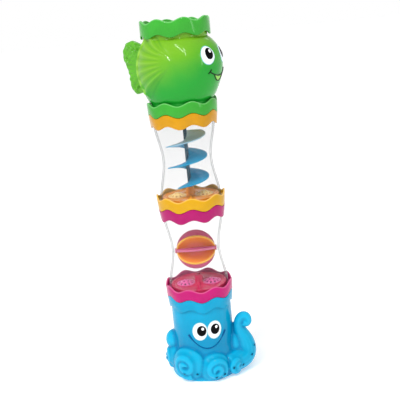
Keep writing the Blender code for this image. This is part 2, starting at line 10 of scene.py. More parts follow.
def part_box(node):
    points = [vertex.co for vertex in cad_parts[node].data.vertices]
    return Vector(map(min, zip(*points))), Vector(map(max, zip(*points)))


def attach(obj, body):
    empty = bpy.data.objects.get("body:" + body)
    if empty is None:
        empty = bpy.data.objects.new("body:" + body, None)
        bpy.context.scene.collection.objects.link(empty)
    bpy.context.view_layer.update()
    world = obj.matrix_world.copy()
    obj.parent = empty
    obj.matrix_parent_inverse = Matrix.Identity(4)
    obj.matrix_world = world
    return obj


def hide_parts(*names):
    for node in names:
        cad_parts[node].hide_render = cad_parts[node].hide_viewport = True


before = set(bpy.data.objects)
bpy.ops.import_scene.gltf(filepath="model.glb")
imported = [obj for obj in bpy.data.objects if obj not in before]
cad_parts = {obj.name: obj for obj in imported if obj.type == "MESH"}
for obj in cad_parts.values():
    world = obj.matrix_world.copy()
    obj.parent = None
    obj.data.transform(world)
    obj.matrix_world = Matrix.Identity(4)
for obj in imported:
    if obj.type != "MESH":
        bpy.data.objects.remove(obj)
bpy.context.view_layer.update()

bl_info = {
    "name": "Bath Tower",
    "version": (1, 0, 0),
    "blender": (4, 5, 0),
    "location": "View3D > Sidebar > Bath Tower",
    "description": "Builds the detailed pieces of a stacking bath and sand tower",
    "category": "Add Mesh",
}

MM = 0.001
FULL_TURN = 2 * math.pi

# Crowns are wavy skirts and collars. A bearing is an angle from the front (-Y) towards +X, and
# these are the bearings of each junction's wave tops.
WAVES = 8
CROWN_DEPTH = 11 * MM
SPIGOT_HEIGHT = 5 * MM
SPIGOT_RADIUS = 30.9 * MM
SOCKET_RADIUS = 31.3 * MM
LEDGE_RADIUS = 25.5 * MM
LEDGE_BOTTOM = 5.3 * MM
LEDGE_TOP = 6.8 * MM
LIP_WALL = 1.4 * MM
TOP_BEARING = math.radians(15)
SCREW_BEARING = math.radians(15.8)
WHEEL_BEARING = math.radians(0.6)
OCTOPUS_BEARING = math.radians(-18.8)

SKIRT_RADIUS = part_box("screw_tube_skirt")[1].x
COLLAR_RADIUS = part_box("screw_tube_collar")[1].x
TUBE_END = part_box("screw_tube")[1].x
SIEVE_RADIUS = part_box("screw_tube_sieve")[1].x
JUNCTION_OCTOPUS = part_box("octopus_collar")[1].z - SPIGOT_HEIGHT
JUNCTION_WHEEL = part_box("wheel_tube_collar")[1].z - SPIGOT_HEIGHT
JUNCTION_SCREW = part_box("screw_tube_collar")[1].z - SPIGOT_HEIGHT
FISH_TOP = JUNCTION_SCREW + 86 * MM
WHEEL_CENTRE = sum(corner.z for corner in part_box("wheel_axle")) / 2
WHEEL_RADIUS = 19.4 * MM
HUB_BORE = 1.95 * MM
WINDOW_PLACE = 12.8 * MM
SCREW_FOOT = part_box("water_screw")[0].z
SCREW_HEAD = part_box("water_screw")[1].z
FISH_BEARING = math.radians(65)
FISH_SHOULDER = JUNCTION_SCREW + 69 * MM
FISH_FOOT = JUNCTION_SCREW + 11.5 * MM
FISH_REACH = 41 * MM
FIN_RIBS = 34
FIN_SPREAD = math.radians(40)
FIN_LENGTH = 52 * MM
OCTOPUS_FACE = math.radians(7.5)
HEAD_RADIUS = 30 * MM


def linear(red, green, blue):
    """Scene-linear colour of an 8-bit display colour."""
    shares = [channel / 255 for channel in (red, green, blue)]
    return tuple(c / 12.92 if c <= 0.04045 else ((c + 0.055) / 1.055) ** 2.4 for c in shares)


def colour_property(name, description, red, green, blue):
    return bpy.props.FloatVectorProperty(
        name=name,
        description=description,
        subtype="COLOR",
        size=3,
        min=0.0,
        max=1.0,
        default=linear(red, green, blue),
    )


def length_property(name, description, millimetres):
    return bpy.props.FloatProperty(
        name=name,
        description=description,
        unit="LENGTH",
        min=0.0,
        default=millimetres * MM,
    )


class TowerColours(bpy.types.PropertyGroup):
    """Colours of the moulded plastics."""

    crown_green: colour_property("Crown green", "Rim and skirt of the fish", 54, 158, 46)
    green: colour_property("Green", "Lower part of the fish", 24, 152, 42)
    lime: colour_property("Lime", "Upper part of the fish", 110, 168, 34)
    orange: colour_property("Orange", "Collar of the screw tube", 198, 140, 0)
    yellow: colour_property("Yellow", "Skirt of the screw tube", 208, 156, 0)
    magenta: colour_property("Magenta", "Collar of the wheel tube", 168, 0, 98)
    pink: colour_property("Pink", "Skirt of the wheel tube", 184, 0, 106)
    blue: colour_property("Blue", "The octopus", 0, 154, 196)
    # Painted shade of the octopus: its hollows, low on its head, and the sucker pits.
    deep_blue: colour_property("Deep blue", "Hollows of the octopus", 0, 122, 172)
    teal: colour_property("Teal", "The screw's flight", 0, 150, 192)
    shaft: colour_property("Shaft", "The screw's shaft", 20, 74, 92)
    paddle_pink: colour_property("Paddle pink", "The wheel's discs", 232, 104, 160)
    paddle_orange: colour_property("Paddle orange", "The wheel's paddles", 236, 140, 20)


class TowerSizes(bpy.types.PropertyGroup):
    """Sizes of the fine detail."""

    wave: length_property("Wave", "Half the height of a crown's waves", 1.8)
    edge: length_property("Edge", "Rounding of a crown's edges", 0.65)
    wall: length_property("Wall", "Wall of the tubes and of the fish", 1.4)
    fin_relief: length_property("Fin relief", "How far the side fins stand out", 1.6)
    voxel: length_property("Voxel", "Detail of the octopus's skin", 0.8)
    crown_steps: bpy.props.IntProperty(
        name="Crown steps", description="Steps round a crown", default=240, min=48
    )


# Modelling


def deselect():
    if bpy.context.mode != "OBJECT":
        bpy.ops.object.mode_set(mode="OBJECT")
    bpy.ops.object.select_all(action="DESELECT")


def pick(*objects):
    deselect()
    for obj in objects:
        obj.select_set(True)
    bpy.context.view_layer.objects.active = objects[0]


def edit_all(obj):
    pick(obj)
    bpy.ops.object.mode_set(mode="EDIT")
    bpy.ops.mesh.select_all(action="SELECT")


def leave_edit():
    bpy.ops.object.mode_set(mode="OBJECT")


def mend(obj, distance=1e-6):
    """Merges doubles and turns every face outwards."""
    edit_all(obj)
    bpy.ops.mesh.remove_doubles(threshold=distance)
    bpy.ops.mesh.normals_make_consistent(inside=False)
    leave_edit()


def settle(obj):
    """Puts the object's place into its mesh."""
    pick(obj)
    bpy.ops.object.transform_apply(location=True, rotation=True, scale=True)


def apply_modifier(obj, kind, **settings):
    pick(obj)
    modifier = obj.modifiers.new(kind.lower(), kind)
    for name, value in settings.items():
        setattr(modifier, name, value)
    bpy.ops.object.modifier_apply(modifier=modifier.name)


def round_edges(obj, width, segments=3, angle=math.radians(35)):
    apply_modifier(
        obj, "BEVEL", width=width, segments=segments, limit_method="ANGLE", angle_limit=angle
    )


def shade(obj, angle=math.radians(40)):
    pick(obj)
    bpy.ops.object.shade_smooth_by_angle(angle=angle)


def cut(obj, cutter, operation="DIFFERENCE"):
    apply_modifier(obj, "BOOLEAN", operation=operation, solver="EXACT", object=cutter)
    bpy.data.objects.remove(cutter)


def join(objects):
    pick(*objects)
    bpy.ops.object.join()
    return bpy.context.active_object


def sculpt(obj, move):
    """Moves every vertex to where move(place) says."""
    for vertex in obj.data.vertices:
        vertex.co = move(vertex.co.copy())
    obj.data.update()


def at_bearing(bearing, radius, height):
    return Vector((radius * math.sin(bearing), -radius * math.cos(bearing), height))


def bearing_of(place):
    return math.atan2(place.x, -place.y)


def smooth_step(low, high, value):
    share = min(1.0, max(0.0, (value - low) / (high - low)))
    return share * share * (3 - 2 * share)


def primitive(name, kind, **settings):
    """A new mesh primitive, with nothing else selected."""
    deselect()
    getattr(bpy.ops.mesh, f"primitive_{kind}_add")(**settings)
    obj = bpy.context.active_object
    obj.name = name
    return obj


def shift(obj, x, y, z):
    """Moves a mesh and leaves its object at the origin."""
    obj.data.transform(Matrix.Translation((x, y, z)))


def lathe(name, outline, steps):
    """Spins a closed outline of (radius, height) corners about Z."""
    obj = primitive(name, "circle", vertices=len(outline), radius=1)
    for vertex, (radius, height) in zip(obj.data.vertices, outline):
        vertex.co = (0, -radius, height)
    edit_all(obj)
    bpy.ops.mesh.spin(steps=steps, angle=FULL_TURN, center=(0, 0, 0), axis=(0, 0, 1))
    leave_edit()
    mend(obj)
    return obj


def rod(name, radius, bottom, top, sides=64):
    size = {"vertices": sides, "radius": radius, "depth": top - bottom}
    obj = primitive(name, "cylinder", location=(0, 0, (top + bottom) / 2), **size)
    settle(obj)
    return obj


def turn_about(obj, angle, axis, centre=(0, 0, 0)):
    """Turns a mesh about an axis through a centre by the right-hand rule."""
    about = Matrix.Translation(centre) @ Matrix.Rotation(angle, 4, axis)
    obj.data.transform(about @ Matrix.Translation(-Vector(centre)))


def tube_along(name, places, radii, sides=6):
    """Round tube through places, with a radius at each, as a mesh with closed ends."""
    curve = bpy.data.curves.new(name, "CURVE")
    curve.dimensions = "3D"
    curve.bevel_depth = 1.0
    curve.bevel_resolution = sides
    curve.use_fill_caps = True
    spline = curve.splines.new("NURBS")
    spline.points.add(len(places) - 1)
    for point, place, radius in zip(spline.points, places, radii):
        point.co = (*place, 1.0)
        point.radius = radius
    spline.use_endpoint_u = True
    spline.order_u = 4
    spline.resolution_u = 6
    obj = bpy.data.objects.new(name, curve)
    bpy.context.scene.collection.objects.link(obj)
    pick(obj)
    bpy.ops.object.convert(target="MESH")
    tube = bpy.context.active_object
    edit_all(tube)
    bpy.ops.mesh.remove_doubles(threshold=1e-7)
    bpy.ops.mesh.fill_holes(sides=0)
    leave_edit()
    mend(tube, 1e-7)
    return tube


def finish_piece(obj, body, slot, finish, replaced=(), angle=math.radians(40)):
    """Gives a piece its finish and its body, and hides the CAD nodes that it stands for."""
    shade(obj, angle)
    obj.data.materials.clear()
    obj.data.materials.append(finish)
    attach(obj, body)
    if replaced:
        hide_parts(*replaced)
    return obj


# Finishes


class Reading:
    """A value in a finish's node tree. Arithmetic on it adds Math nodes."""

    def __init__(self, finish, socket):
        self.finish = finish
        self.socket = socket

    def _sum(self, operation, first, second):
        return self.finish.add("ShaderNodeMath", {"operation": operation}, {0: first, 1: second})

    def __add__(self, other):
        return self._sum("ADD", self, other)

    __radd__ = __add__

    def __mul__(self, other):
        return self._sum("MULTIPLY", self, other)

    __rmul__ = __mul__

    def __sub__(self, other):
        return self._sum("SUBTRACT", self, other)

    def __rsub__(self, other):
        return self._sum("SUBTRACT", other, self)

    def band(self, low, high):
        """0 below low, 1 above high, smooth between."""
        settings = {"interpolation_type": "SMOOTHSTEP"}
        return self.finish.add(
            "ShaderNodeMapRange", settings, {"Value": self, "From Min": low, "From Max": high}
        )


class Finish:
    """A material whose nodes are added one by one."""

    def __init__(self, name, **constants):
        self.material = bpy.data.materials.new(name)
        self.material.use_nodes = True
        self.tree = self.material.node_tree
        self.shader = self.tree.nodes["Principled BSDF"]
        for socket, value in constants.items():
            self.shader.inputs[socket.replace("_", " ")].default_value = value
        self.place = self.add("ShaderNodeTexCoord", {}, {}, "Object")

    def add(self, kind, settings, values, output=0):
        node = self.tree.nodes.new(kind)
        for name, value in settings.items():
            setattr(node, name, value)
        for key, value in values.items():
            if isinstance(value, Reading):
                self.tree.links.new(value.socket, node.inputs[key])
            else:
                node.inputs[key].default_value = value
        return Reading(self, node.outputs[output])

    def part(self, axis):
        """One coordinate of the place, X, Y or Z."""
        return self.add("ShaderNodeSeparateXYZ", {}, {0: self.place}, axis)

    def noise(self, scale, detail=2.0):
        values = {"Vector": self.place, "Scale": scale, "Detail": detail}
        return self.add("ShaderNodeTexNoise", {}, values, 0)

    def distance(self, centre):
        """Distance of the place from a point."""
        away = self.add(
            "ShaderNodeVectorMath", {"operation": "SUBTRACT"}, {0: self.place, 1: tuple(centre)}
        )
        return self.add("ShaderNodeVectorMath", {"operation": "LENGTH"}, {0: away}, "Value")

    def around(self):
        """Distance of the place from the tower's upright axis."""
        flat = self.add(
            "ShaderNodeVectorMath", {"operation": "MULTIPLY"}, {0: self.place, 1: (1, 1, 0)}
        )
        return self.add("ShaderNodeVectorMath", {"operation": "LENGTH"}, {0: flat}, "Value")

    def level(self, junction, phase, wave):
        """Height above a crown's junction, less the height of its wave at that bearing."""
        sides = {0: self.part("X"), 1: 0 - self.part("Y")}
        bearing = self.add("ShaderNodeMath", {"operation": "ARCTAN2"}, sides)
        swell = self.add("ShaderNodeMath", {"operation": "COSINE"}, {0: (bearing - phase) * WAVES})
        return self.part("Z") - junction - swell * wave

    def mix(self, share, first, second):
        ends = [
            value if isinstance(value, Reading) else (*value, 1.0) for value in (first, second)
        ]
        settings = {"data_type": "RGBA", "clamp_factor": True}
        return self.add("ShaderNodeMix", settings, {0: share, 6: ends[0], 7: ends[1]}, 2)

    def feed(self, socket, value):
        self.tree.links.new(value.socket, self.shader.inputs[socket])


def brighter(colour, share):
    return tuple(min(1.0, channel * share) for channel in colour)


def towards(colour, target, share):
    return tuple(a + (b - a) * share for a, b in zip(colour, target))


WHITE = (1.0, 1.0, 1.0)
GLOSSY = {"Coat_Weight": 0.35, "Coat_Roughness": 0.03, "Specular_IOR_Level": 0.08}


def add_skin(finish, gloss):
    """Soft handling marks in the gloss and the faint unevenness of a moulded wall."""
    marks = finish.noise(420.0, 4.0)
    finish.feed("Roughness", marks * 0.12 + (gloss - 0.06))
    ripple = finish.noise(150.0) + finish.noise(1500.0) * 0.15
    values = {"Strength": 0.12, "Distance": 0.4 * MM, "Height": ripple}
    finish.feed("Normal", finish.add("ShaderNodeBump", {}, values, "Normal"))


def moulded(name, colour, gloss=0.2, crest=None):
    """Glossy moulded plastic with a faint cloud in its colour.

    crest = (junction, phase, top) paints a pale highlight along a crown's waved top edge.
    """
    finish = Finish(name, **GLOSSY)
    cloud = finish.noise(70.0, 3.0).band(0.35, 0.75)
    base = finish.mix(cloud, brighter(colour, 0.94), brighter(colour, 1.06))
    if crest:
        junction, phase, top = crest
        level = finish.level(junction, phase, bpy.context.scene.tower_sizes.wave)
        # Painted highlight along the crown's rounded top lip.
        lip = level.band(top - 1.5 * MM, top - 0.3 * MM) * 0.8
        base = finish.mix(lip, base, towards(brighter(colour, 1.3), WHITE, 0.1))
    finish.feed("Base Color", base)
    add_skin(finish, gloss)
    return finish.material


def fish_finish(name):
    """Green that turns to lime upwards and towards the tail, with painted highlight and shade on
    the fins.
    """
    colours = bpy.context.scene.tower_colours
    finish = Finish(name, **GLOSSY)
    level = finish.part("Z") - finish.part("X") * 0.4 + (finish.noise(45.0) - 0.5) * (14 * MM)
    share = level.band(JUNCTION_SCREW + 24 * MM, JUNCTION_SCREW + 66 * MM)
    base = finish.mix(share, colours.green, colours.lime)
    # Relief holds the fins' painted light: a highlight on ridges above 0, a shade in grooves
    # below.
    relief = finish.add("ShaderNodeAttribute", {"attribute_name": "relief"}, {}, "Fac")
    ridge_highlit = finish.mix(relief.band(0.1, 1.0) * 0.5, base, linear(152, 206, 76))
    hollow = (0 - relief).band(0.05, 0.9) * 0.45
    finish.feed("Base Color", finish.mix(hollow, ridge_highlit, linear(20, 126, 34)))
    add_skin(finish, 0.2)
    return finish.material


def clear_plastic():
    """Clear tube: nearly nothing face on; where the wall turns away, glossy and painted dark for
    refraction.
    """
    finish = Finish("clear_wall", Specular_IOR_Level=0.6)
    facing = finish.add("ShaderNodeLayerWeight", {}, {"Blend": 0.5}, "Facing")
    edge = facing.band(0.55, 1.0)
    rim = facing.band(0.68, 0.86)
    # Painted shade: the wall is painted dark where it turns away, standing in for its refraction.
    finish.feed("Base Color", finish.mix(edge, linear(140, 146, 148), linear(48, 58, 66)))
    scuffs = finish.noise(160.0, 3.0).band(0.55, 0.8)
    finish.feed("Alpha", edge * 0.16 + rim * 0.45 + 0.06 + scuffs * 0.02)
    finish.feed("Roughness", scuffs * 0.1 + 0.03)
    return finish.material


def painted(name, colour, gloss=0.15, coat=0.12):
    """Printed enamel with faint unevenness."""
    finish = Finish(name, Coat_Weight=coat, Coat_Roughness=0.04, Specular_IOR_Level=0.05)
    cloud = finish.noise(180.0, 3.0)
    base = finish.mix(cloud.band(0.4, 0.7) * 0.5, colour, brighter(colour, 0.88))
    finish.feed("Base Color", base)
    finish.feed("Roughness", cloud * 0.08 + gloss)
    return finish.material


def paddle_finish(name, inner, outer, rim):
    """Translucent paddle plastic: painted shade near the hub, painted light along the rim."""
    finish = Finish(name, Coat_Weight=0.2, Coat_Roughness=0.05, Specular_IOR_Level=0.2)
    away = finish.distance((0, 0, WHEEL_CENTRE))
    body = finish.mix(away.band(2 * MM, 15 * MM), inner, outer)
    lit = finish.mix(away.band(WHEEL_RADIUS - 1.6 * MM, WHEEL_RADIUS - 0.9 * MM), body, rim)
    finish.feed("Base Color", lit)
    finish.feed("Roughness", finish.noise(300.0, 3.0) * 0.15 + 0.15)
    return finish.material


def screw_finish(colour):
    """Translucent screw plastic: painted shade near the shaft, paler to the rim, and a pale grey
    highlight on top.
    """
    finish = Finish("screw_teal", Coat_Weight=0.05, Coat_Roughness=0.06, Specular_IOR_Level=0.05)
    rise = finish.part("Z").band(SCREW_FOOT + 42 * MM, SCREW_FOOT + 62 * MM)
    # Painted shade near the shaft, fading out towards the rim.
    edge = finish.around().band(4 * MM, 19 * MM) * 0.45
    body = finish.mix(edge, brighter(colour, 0.85), linear(0, 160, 208))
    # Painted highlight: the blade turns pale grey towards the top.
    pale = finish.mix(rise * 0.95, body, linear(232, 250, 255))
    finish.feed("Base Color", pale)
    finish.feed("Roughness", finish.noise(300.0, 3.0) * 0.15 + 0.18)
    return finish.material


def octopus_finish(name):
    """Blue plastic with painted shade in the hollows between the rolled tentacles and low on the
    head.
    """
    colours = bpy.context.scene.tower_colours
    finish = Finish(name, Coat_Weight=0.26, Coat_Roughness=0.03, Specular_IOR_Level=0.05)
    cloud = finish.noise(60.0, 3.0).band(0.35, 0.7)
    base = finish.mix(cloud, brighter(colours.blue, 0.95), brighter(colours.blue, 1.05))
    relief = finish.add("ShaderNodeAttribute", {"attribute_name": "relief"}, {}, "Fac")
    # Painted highlight on raised spots and painted shade in the hollows.
    raised = finish.mix(relief.band(0.0, 1.0) * 0.35, base, linear(40, 198, 238))
    hollow = (0 - relief).band(0.0, 1.0) * 0.75
    # Painted shade low on the head's wall, between the rolled tentacles.
    wall = 1 - finish.around().band(31 * MM, 34 * MM)
    low = wall * (1 - finish.part("Z").band(34 * MM, 66 * MM)) * 0.5
    deeper = finish.mix(low, raised, colours.deep_blue)
    finish.feed("Base Color", finish.mix(hollow, deeper, colours.deep_blue))
    add_skin(finish, 0.2)
    return finish.material


def finish_named(name, make, *details):
    """The finish of that name, made the first time that it is asked for."""
    return bpy.data.materials.get(name) or make(name, *details)


# Crowns


def waved(obj, junction, phase, weight):
    """Lifts a crown's edges into waves. weight(radius, rise) says how far a spot follows."""
    height = bpy.context.scene.tower_sizes.wave

    def move(place):
        radius = math.hypot(place.x, place.y)
        swell = height * math.cos(WAVES * (bearing_of(place) - phase))
        place.z += swell * weight(radius, place.z - junction)
        return place

    sculpt(obj, move)


def build_crown(node, junction, phase, outline, weight, edge, finish, slot, body):
    """Spins a crown's outline, rounds its edges and waves it."""
    steps = bpy.context.scene.tower_sizes.crown_steps
    places = [(radius, junction + rise) for radius, rise in outline]
    obj = lathe(node + "_crown", places, steps)
    round_edges(obj, edge)
    waved(obj, junction, phase, weight)
    finish_piece(obj, body, slot, finish, [node])


def build_skirt(node, junction, phase, finish, slot, body):
    """Crown that flares upwards, with a ledge and the socket for the spigot below."""
    low, high = 0.15 * MM, CROWN_DEPTH
    inner = SKIRT_RADIUS - 1.6 * MM
    outline = [
        (SKIRT_RADIUS - 0.6 * MM, low),
        (SKIRT_RADIUS, high),
        (inner + 0.1 * MM, high),
        (inner - 0.5 * MM, LEDGE_TOP),
        (LEDGE_RADIUS, LEDGE_TOP),
        (LEDGE_RADIUS, LEDGE_BOTTOM),
        (SOCKET_RADIUS, LEDGE_BOTTOM),
        (SOCKET_RADIUS, low),
    ]

    def weight(radius, rise):
        if radius > 32.2 * MM:
            return 1.0
        if rise > LEDGE_BOTTOM:
            return smooth_step(LEDGE_TOP, high - 0.5 * MM, rise)
        in_socket = radius > SOCKET_RADIUS - 0.3 * MM
        return smooth_step(LEDGE_BOTTOM, 0.8 * MM, rise) if in_socket else 0.0

    edge = bpy.context.scene.tower_sizes.edge
    build_crown(node, junction, phase, outline, weight, edge, finish, slot, body)


def build_collar(node, junction, phase, finish, slot, body):
    """Crown that narrows downwards, with the spigot above and the tube's seat inside."""
    low, shoulder, stop, foot = -CROWN_DEPTH, -0.15 * MM, -0.7 * MM, -6 * MM
    seat, lip = TUBE_END + 0.15 * MM, TUBE_END - LIP_WALL
    outline = [
        (COLLAR_RADIUS - 1.3 * MM, low),
        (COLLAR_RADIUS, shoulder),
        (SPIGOT_RADIUS, shoulder),
        (SPIGOT_RADIUS, SPIGOT_HEIGHT),
        (lip, SPIGOT_HEIGHT),
        (lip, stop),
        (seat, stop),
        (seat, foot),
        (30.3 * MM, low),
    ]

    def weight(radius, rise):
        if rise > 1.2 * MM:
            return 0.0
        if radius > SPIGOT_RADIUS + 0.05 * MM or rise < -10 * MM:
            return 1.0
        in_mouth = radius > 29.9 * MM and rise < -1 * MM
        return smooth_step(foot, -10 * MM, rise) if in_mouth else 0.0

    edge = 0.8 * bpy.context.scene.tower_sizes.edge
    build_crown(node, junction, phase, outline, weight, edge, finish, slot, body)


class BuildCrowns(bpy.types.Operator):
    """Builds the wavy rim, skirts and collars"""

    bl_idname = "tower.build_crowns"
    bl_label = "Build crowns"

    def execute(self, context):
        colours = context.scene.tower_colours
        screw = (JUNCTION_SCREW, SCREW_BEARING)
        wheel = (JUNCTION_WHEEL, WHEEL_BEARING)
        octopus = (JUNCTION_OCTOPUS, OCTOPUS_BEARING)
        top = (FISH_TOP, TOP_BEARING)

        # Finishes with a painted highlight along the crown's waved top edge.
        def highlighted(name, colour, place, crest=CROWN_DEPTH):
            return moulded(name, colour, crest=(*place, crest))

        green = highlighted("fish_skirt_green", colours.crown_green, screw)
        rim_green = highlighted("fish_rim_green", colours.crown_green, top, -0.2 * MM)
        orange = moulded("collar_orange", colours.orange)
        yellow = highlighted("skirt_yellow", colours.yellow, wheel)
        magenta = moulded("collar_magenta", colours.magenta)
        pink = highlighted("skirt_pink", colours.pink, octopus)
        blue = finish_named("octopus_blue", octopus_finish)
        build_skirt("fish_skirt", *screw, green, "green_plastic", "fish")
        build_skirt("screw_tube_skirt", *wheel, yellow, "yellow_plastic", "screw_tube")
        build_skirt("wheel_tube_skirt", *octopus, pink, "pink_plastic", "wheel_tube")
        build_collar("screw_tube_collar", *screw, orange, "orange_plastic", "screw_tube")
        build_collar("wheel_tube_collar", *wheel, magenta, "magenta_plastic", "wheel_tube")
        build_collar("octopus_collar", *octopus, blue, "blue_plastic", "octopus")
        self.build_rim(*top, rim_green)
        return {"FINISHED"}

    def build_rim(self, junction, phase, finish):
        """Open crown at the top of the fish."""
        inner, lip, share = COLLAR_RADIUS - 1.8 * MM, TUBE_END - LIP_WALL, 0.9
        high, shelf, under, low = -0.2 * MM, -8 * MM, -10 * MM, -14 * MM
        outline = [
            (COLLAR_RADIUS, low),
            (COLLAR_RADIUS, high),
            (inner, high),
            (inner - 0.4 * MM, shelf),
            (lip, shelf),
            (lip, under),
            (inner, under),
            (inner, low),
        ]

        def weight(radius, rise):
            if radius > inner + 0.6 * MM:
                return share
            up = smooth_step(shelf + 1 * MM, high - 0.8 * MM, rise)
            return share * (up + smooth_step(under - 0.5 * MM, low + 0.5 * MM, rise))

        edge = bpy.context.scene.tower_sizes.edge
        slot = "green_plastic"
        build_crown("fish_rim", junction, phase, outline, weight, edge, finish, slot, "fish")


# Clear tubes


def flare(rise):
    """Outer radius of a clear tube at a height above its junction."""
    waist, middle, reach = 24.2 * MM, 45.5 * MM, 38 * MM
    share = min(1.0, abs(rise - middle) / reach)
    return waist + (TUBE_END - waist) * (1 - math.cos(math.pi * share)) / 2


class BuildTubes(bpy.types.Operator):
    """Builds the two clear waisted tubes and the rings that carry the axle"""

    bl_idname = "tower.build_tubes"
    bl_label = "Build clear tubes"

    def execute(self, context):
        wall = context.scene.tower_sizes.wall
        clear = clear_plastic()
        levels = 44
        for name, junction in (("screw_tube", JUNCTION_WHEEL), ("wheel_tube", JUNCTION_OCTOPUS)):
            low, high = (corner.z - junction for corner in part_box(name))
            rises = [low + (high - low) * level / levels for level in range(levels + 1)]
            outer = [(flare(rise), junction + rise) for rise in rises]
            inner = [(radius - wall, height) for radius, height in reversed(outer)]
            obj = lathe(name + "_wall", outer + inner, 128)
            round_edges(obj, 0.4 * MM, 2, math.radians(60))
            finish_piece(obj, name, "clear_plastic", clear, [name])
        for name in ("left_bearing_cup", "right_bearing_cup"):
            low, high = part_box(name)
            self.build_cup(name, low.x, high.x, clear)
        return {"FINISHED"}

    def build_cup(self, name, start, end, clear):
        outline = [(3 * MM, start), (3 * MM, end), (1.28 * MM, end), (1.28 * MM, start)]
        obj = lathe(name + "_ring", outline, 48)
        round_edges(obj, 0.25 * MM, 2)
        turn_about(obj, math.pi / 2, "Y")
        shift(obj, 0, 0, WHEEL_CENTRE)
        finish_piece(obj, "wheel_tube", "clear_plastic", clear, [name])


# Sieve floors


class BuildSieves(bpy.types.Operator):
    """Builds the three sieve floors with their hubs and windows"""

    bl_idname = "tower.build_sieves"
    bl_label = "Build sieve floors"

    def execute(self, context):
        yellow = moulded("sieve_yellow", linear(246, 146, 0))
        pink = moulded("sieve_pink", linear(208, 0, 84))
        green = finish_named("fish_green", fish_finish)
        # Windows painted paler than their floor: a painted highlight on the domes.
        window_yellow = moulded("window_yellow", linear(255, 214, 140), 0.3)
        window_pink = moulded("window_pink", linear(238, 110, 178), 0.3)
        window_green = moulded("window_green", linear(130, 210, 110), 0.3)
        self.build("screw_tube_sieve", "screw_tube", yellow, window_yellow, "yellow_plastic")
        self.build("wheel_tube_sieve", "wheel_tube", pink, window_pink, "pink_plastic")
        self.build("fish_sieve", "fish", green, window_green, "green_plastic")
        return {"FINISHED"}

    def build(self, node, body, finish, window_finish, slot):
        bottom, hub_top = (corner.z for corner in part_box(node))
        top = bottom + 2 * MM
        rim = top + 0.6 * MM
        outline = [
            (HUB_BORE, bottom),
            (SIEVE_RADIUS, bottom),
            (SIEVE_RADIUS, rim),
            (SIEVE_RADIUS - 1.6 * MM, rim),
            (SIEVE_RADIUS - 2.2 * MM, top),
            (7.5 * MM, top),
            (5.2 * MM, top + 1.2 * MM),
            (3.9 * MM, hub_top - 1.5 * MM),
            (3.2 * MM, hub_top),
            (HUB_BORE, hub_top),
        ]
        disc = lathe(node + "_disc", outline, 96)
        for side in (-1, 1):
            cut(disc, self.rib(4 * MM, SIEVE_RADIUS - 2 * MM, top, side), "UNION")
            seat = rod("window_seat", 9.4 * MM, bottom - 5 * MM, top + 5 * MM, 48)
            shift(seat, side * WINDOW_PLACE, 0, 0)
            cut(disc, seat)
        round_edges(disc, 0.3 * MM, 2)
        finish_piece(disc, body, slot, finish, [node])
        for side, word in ((-1, "left"), (1, "right")):
            self.window(f"{node}_{word}_window", side, body, bottom, window_finish, slot)

    def rib(self, near, far, top, side):
        """Tapered rib from the hub to the rim, lower at the rim."""
        width, height, taper = 3.2 * MM, 3.2 * MM, 0.55
        middle = side * (near + far) / 2
        rib = primitive("rib", "cube", size=1, location=(0, middle, top + 0.6 * MM))
        rib.scale = (width, far - near, height)
        settle(rib)
        for vertex in rib.data.vertices:
            if vertex.co.z > top:
                vertex.co.x *= taper
                if abs(vertex.co.y) > abs(middle):
                    vertex.co.z = top + 0.3 * MM
        return rib

    def window(self, name, side, body, bottom, finish, slot):
        """Domed grid of small holes that sits in its opening with a raised lip."""
        lip, rise, wall = 9.2 * MM, 3.8 * MM, 1.2 * MM
        brow, foot, brim = lip - 1.1 * MM, bottom + 0.5 * MM, bottom + 2.6 * MM
        stations = [step / 8 for step in range(9)]
        outer = [
            (brow * share, bottom + 2 * MM + rise * math.cos(math.pi / 2 * share))
            for share in stations
        ]
        inner = [(radius, height - wall) for radius, height in outer]
        flange = [(brow, foot), (lip, foot), (lip, brim), (brow, brim)]
        grid = lathe(name, [*inner, *flange, *reversed(outer)], 48)
        holes = []
        for ring_radius, count in ((0, 1), (3.4 * MM, 5), (6.4 * MM, 10)):
            for step in range(count):
                angle = FULL_TURN * (step + 0.25) / count
                hole = rod("hole", 1.15 * MM, bottom - 2 * MM, bottom + 9 * MM, 12)
                shift(hole, ring_radius * math.cos(angle), ring_radius * math.sin(angle), 0)
                holes.append(hole)
        cut(grid, join(holes))
        shift(grid, side * WINDOW_PLACE, 0, 0)
        round_edges(grid, 0.15 * MM, 2)
        finish_piece(grid, body, slot, finish)


# Water screw


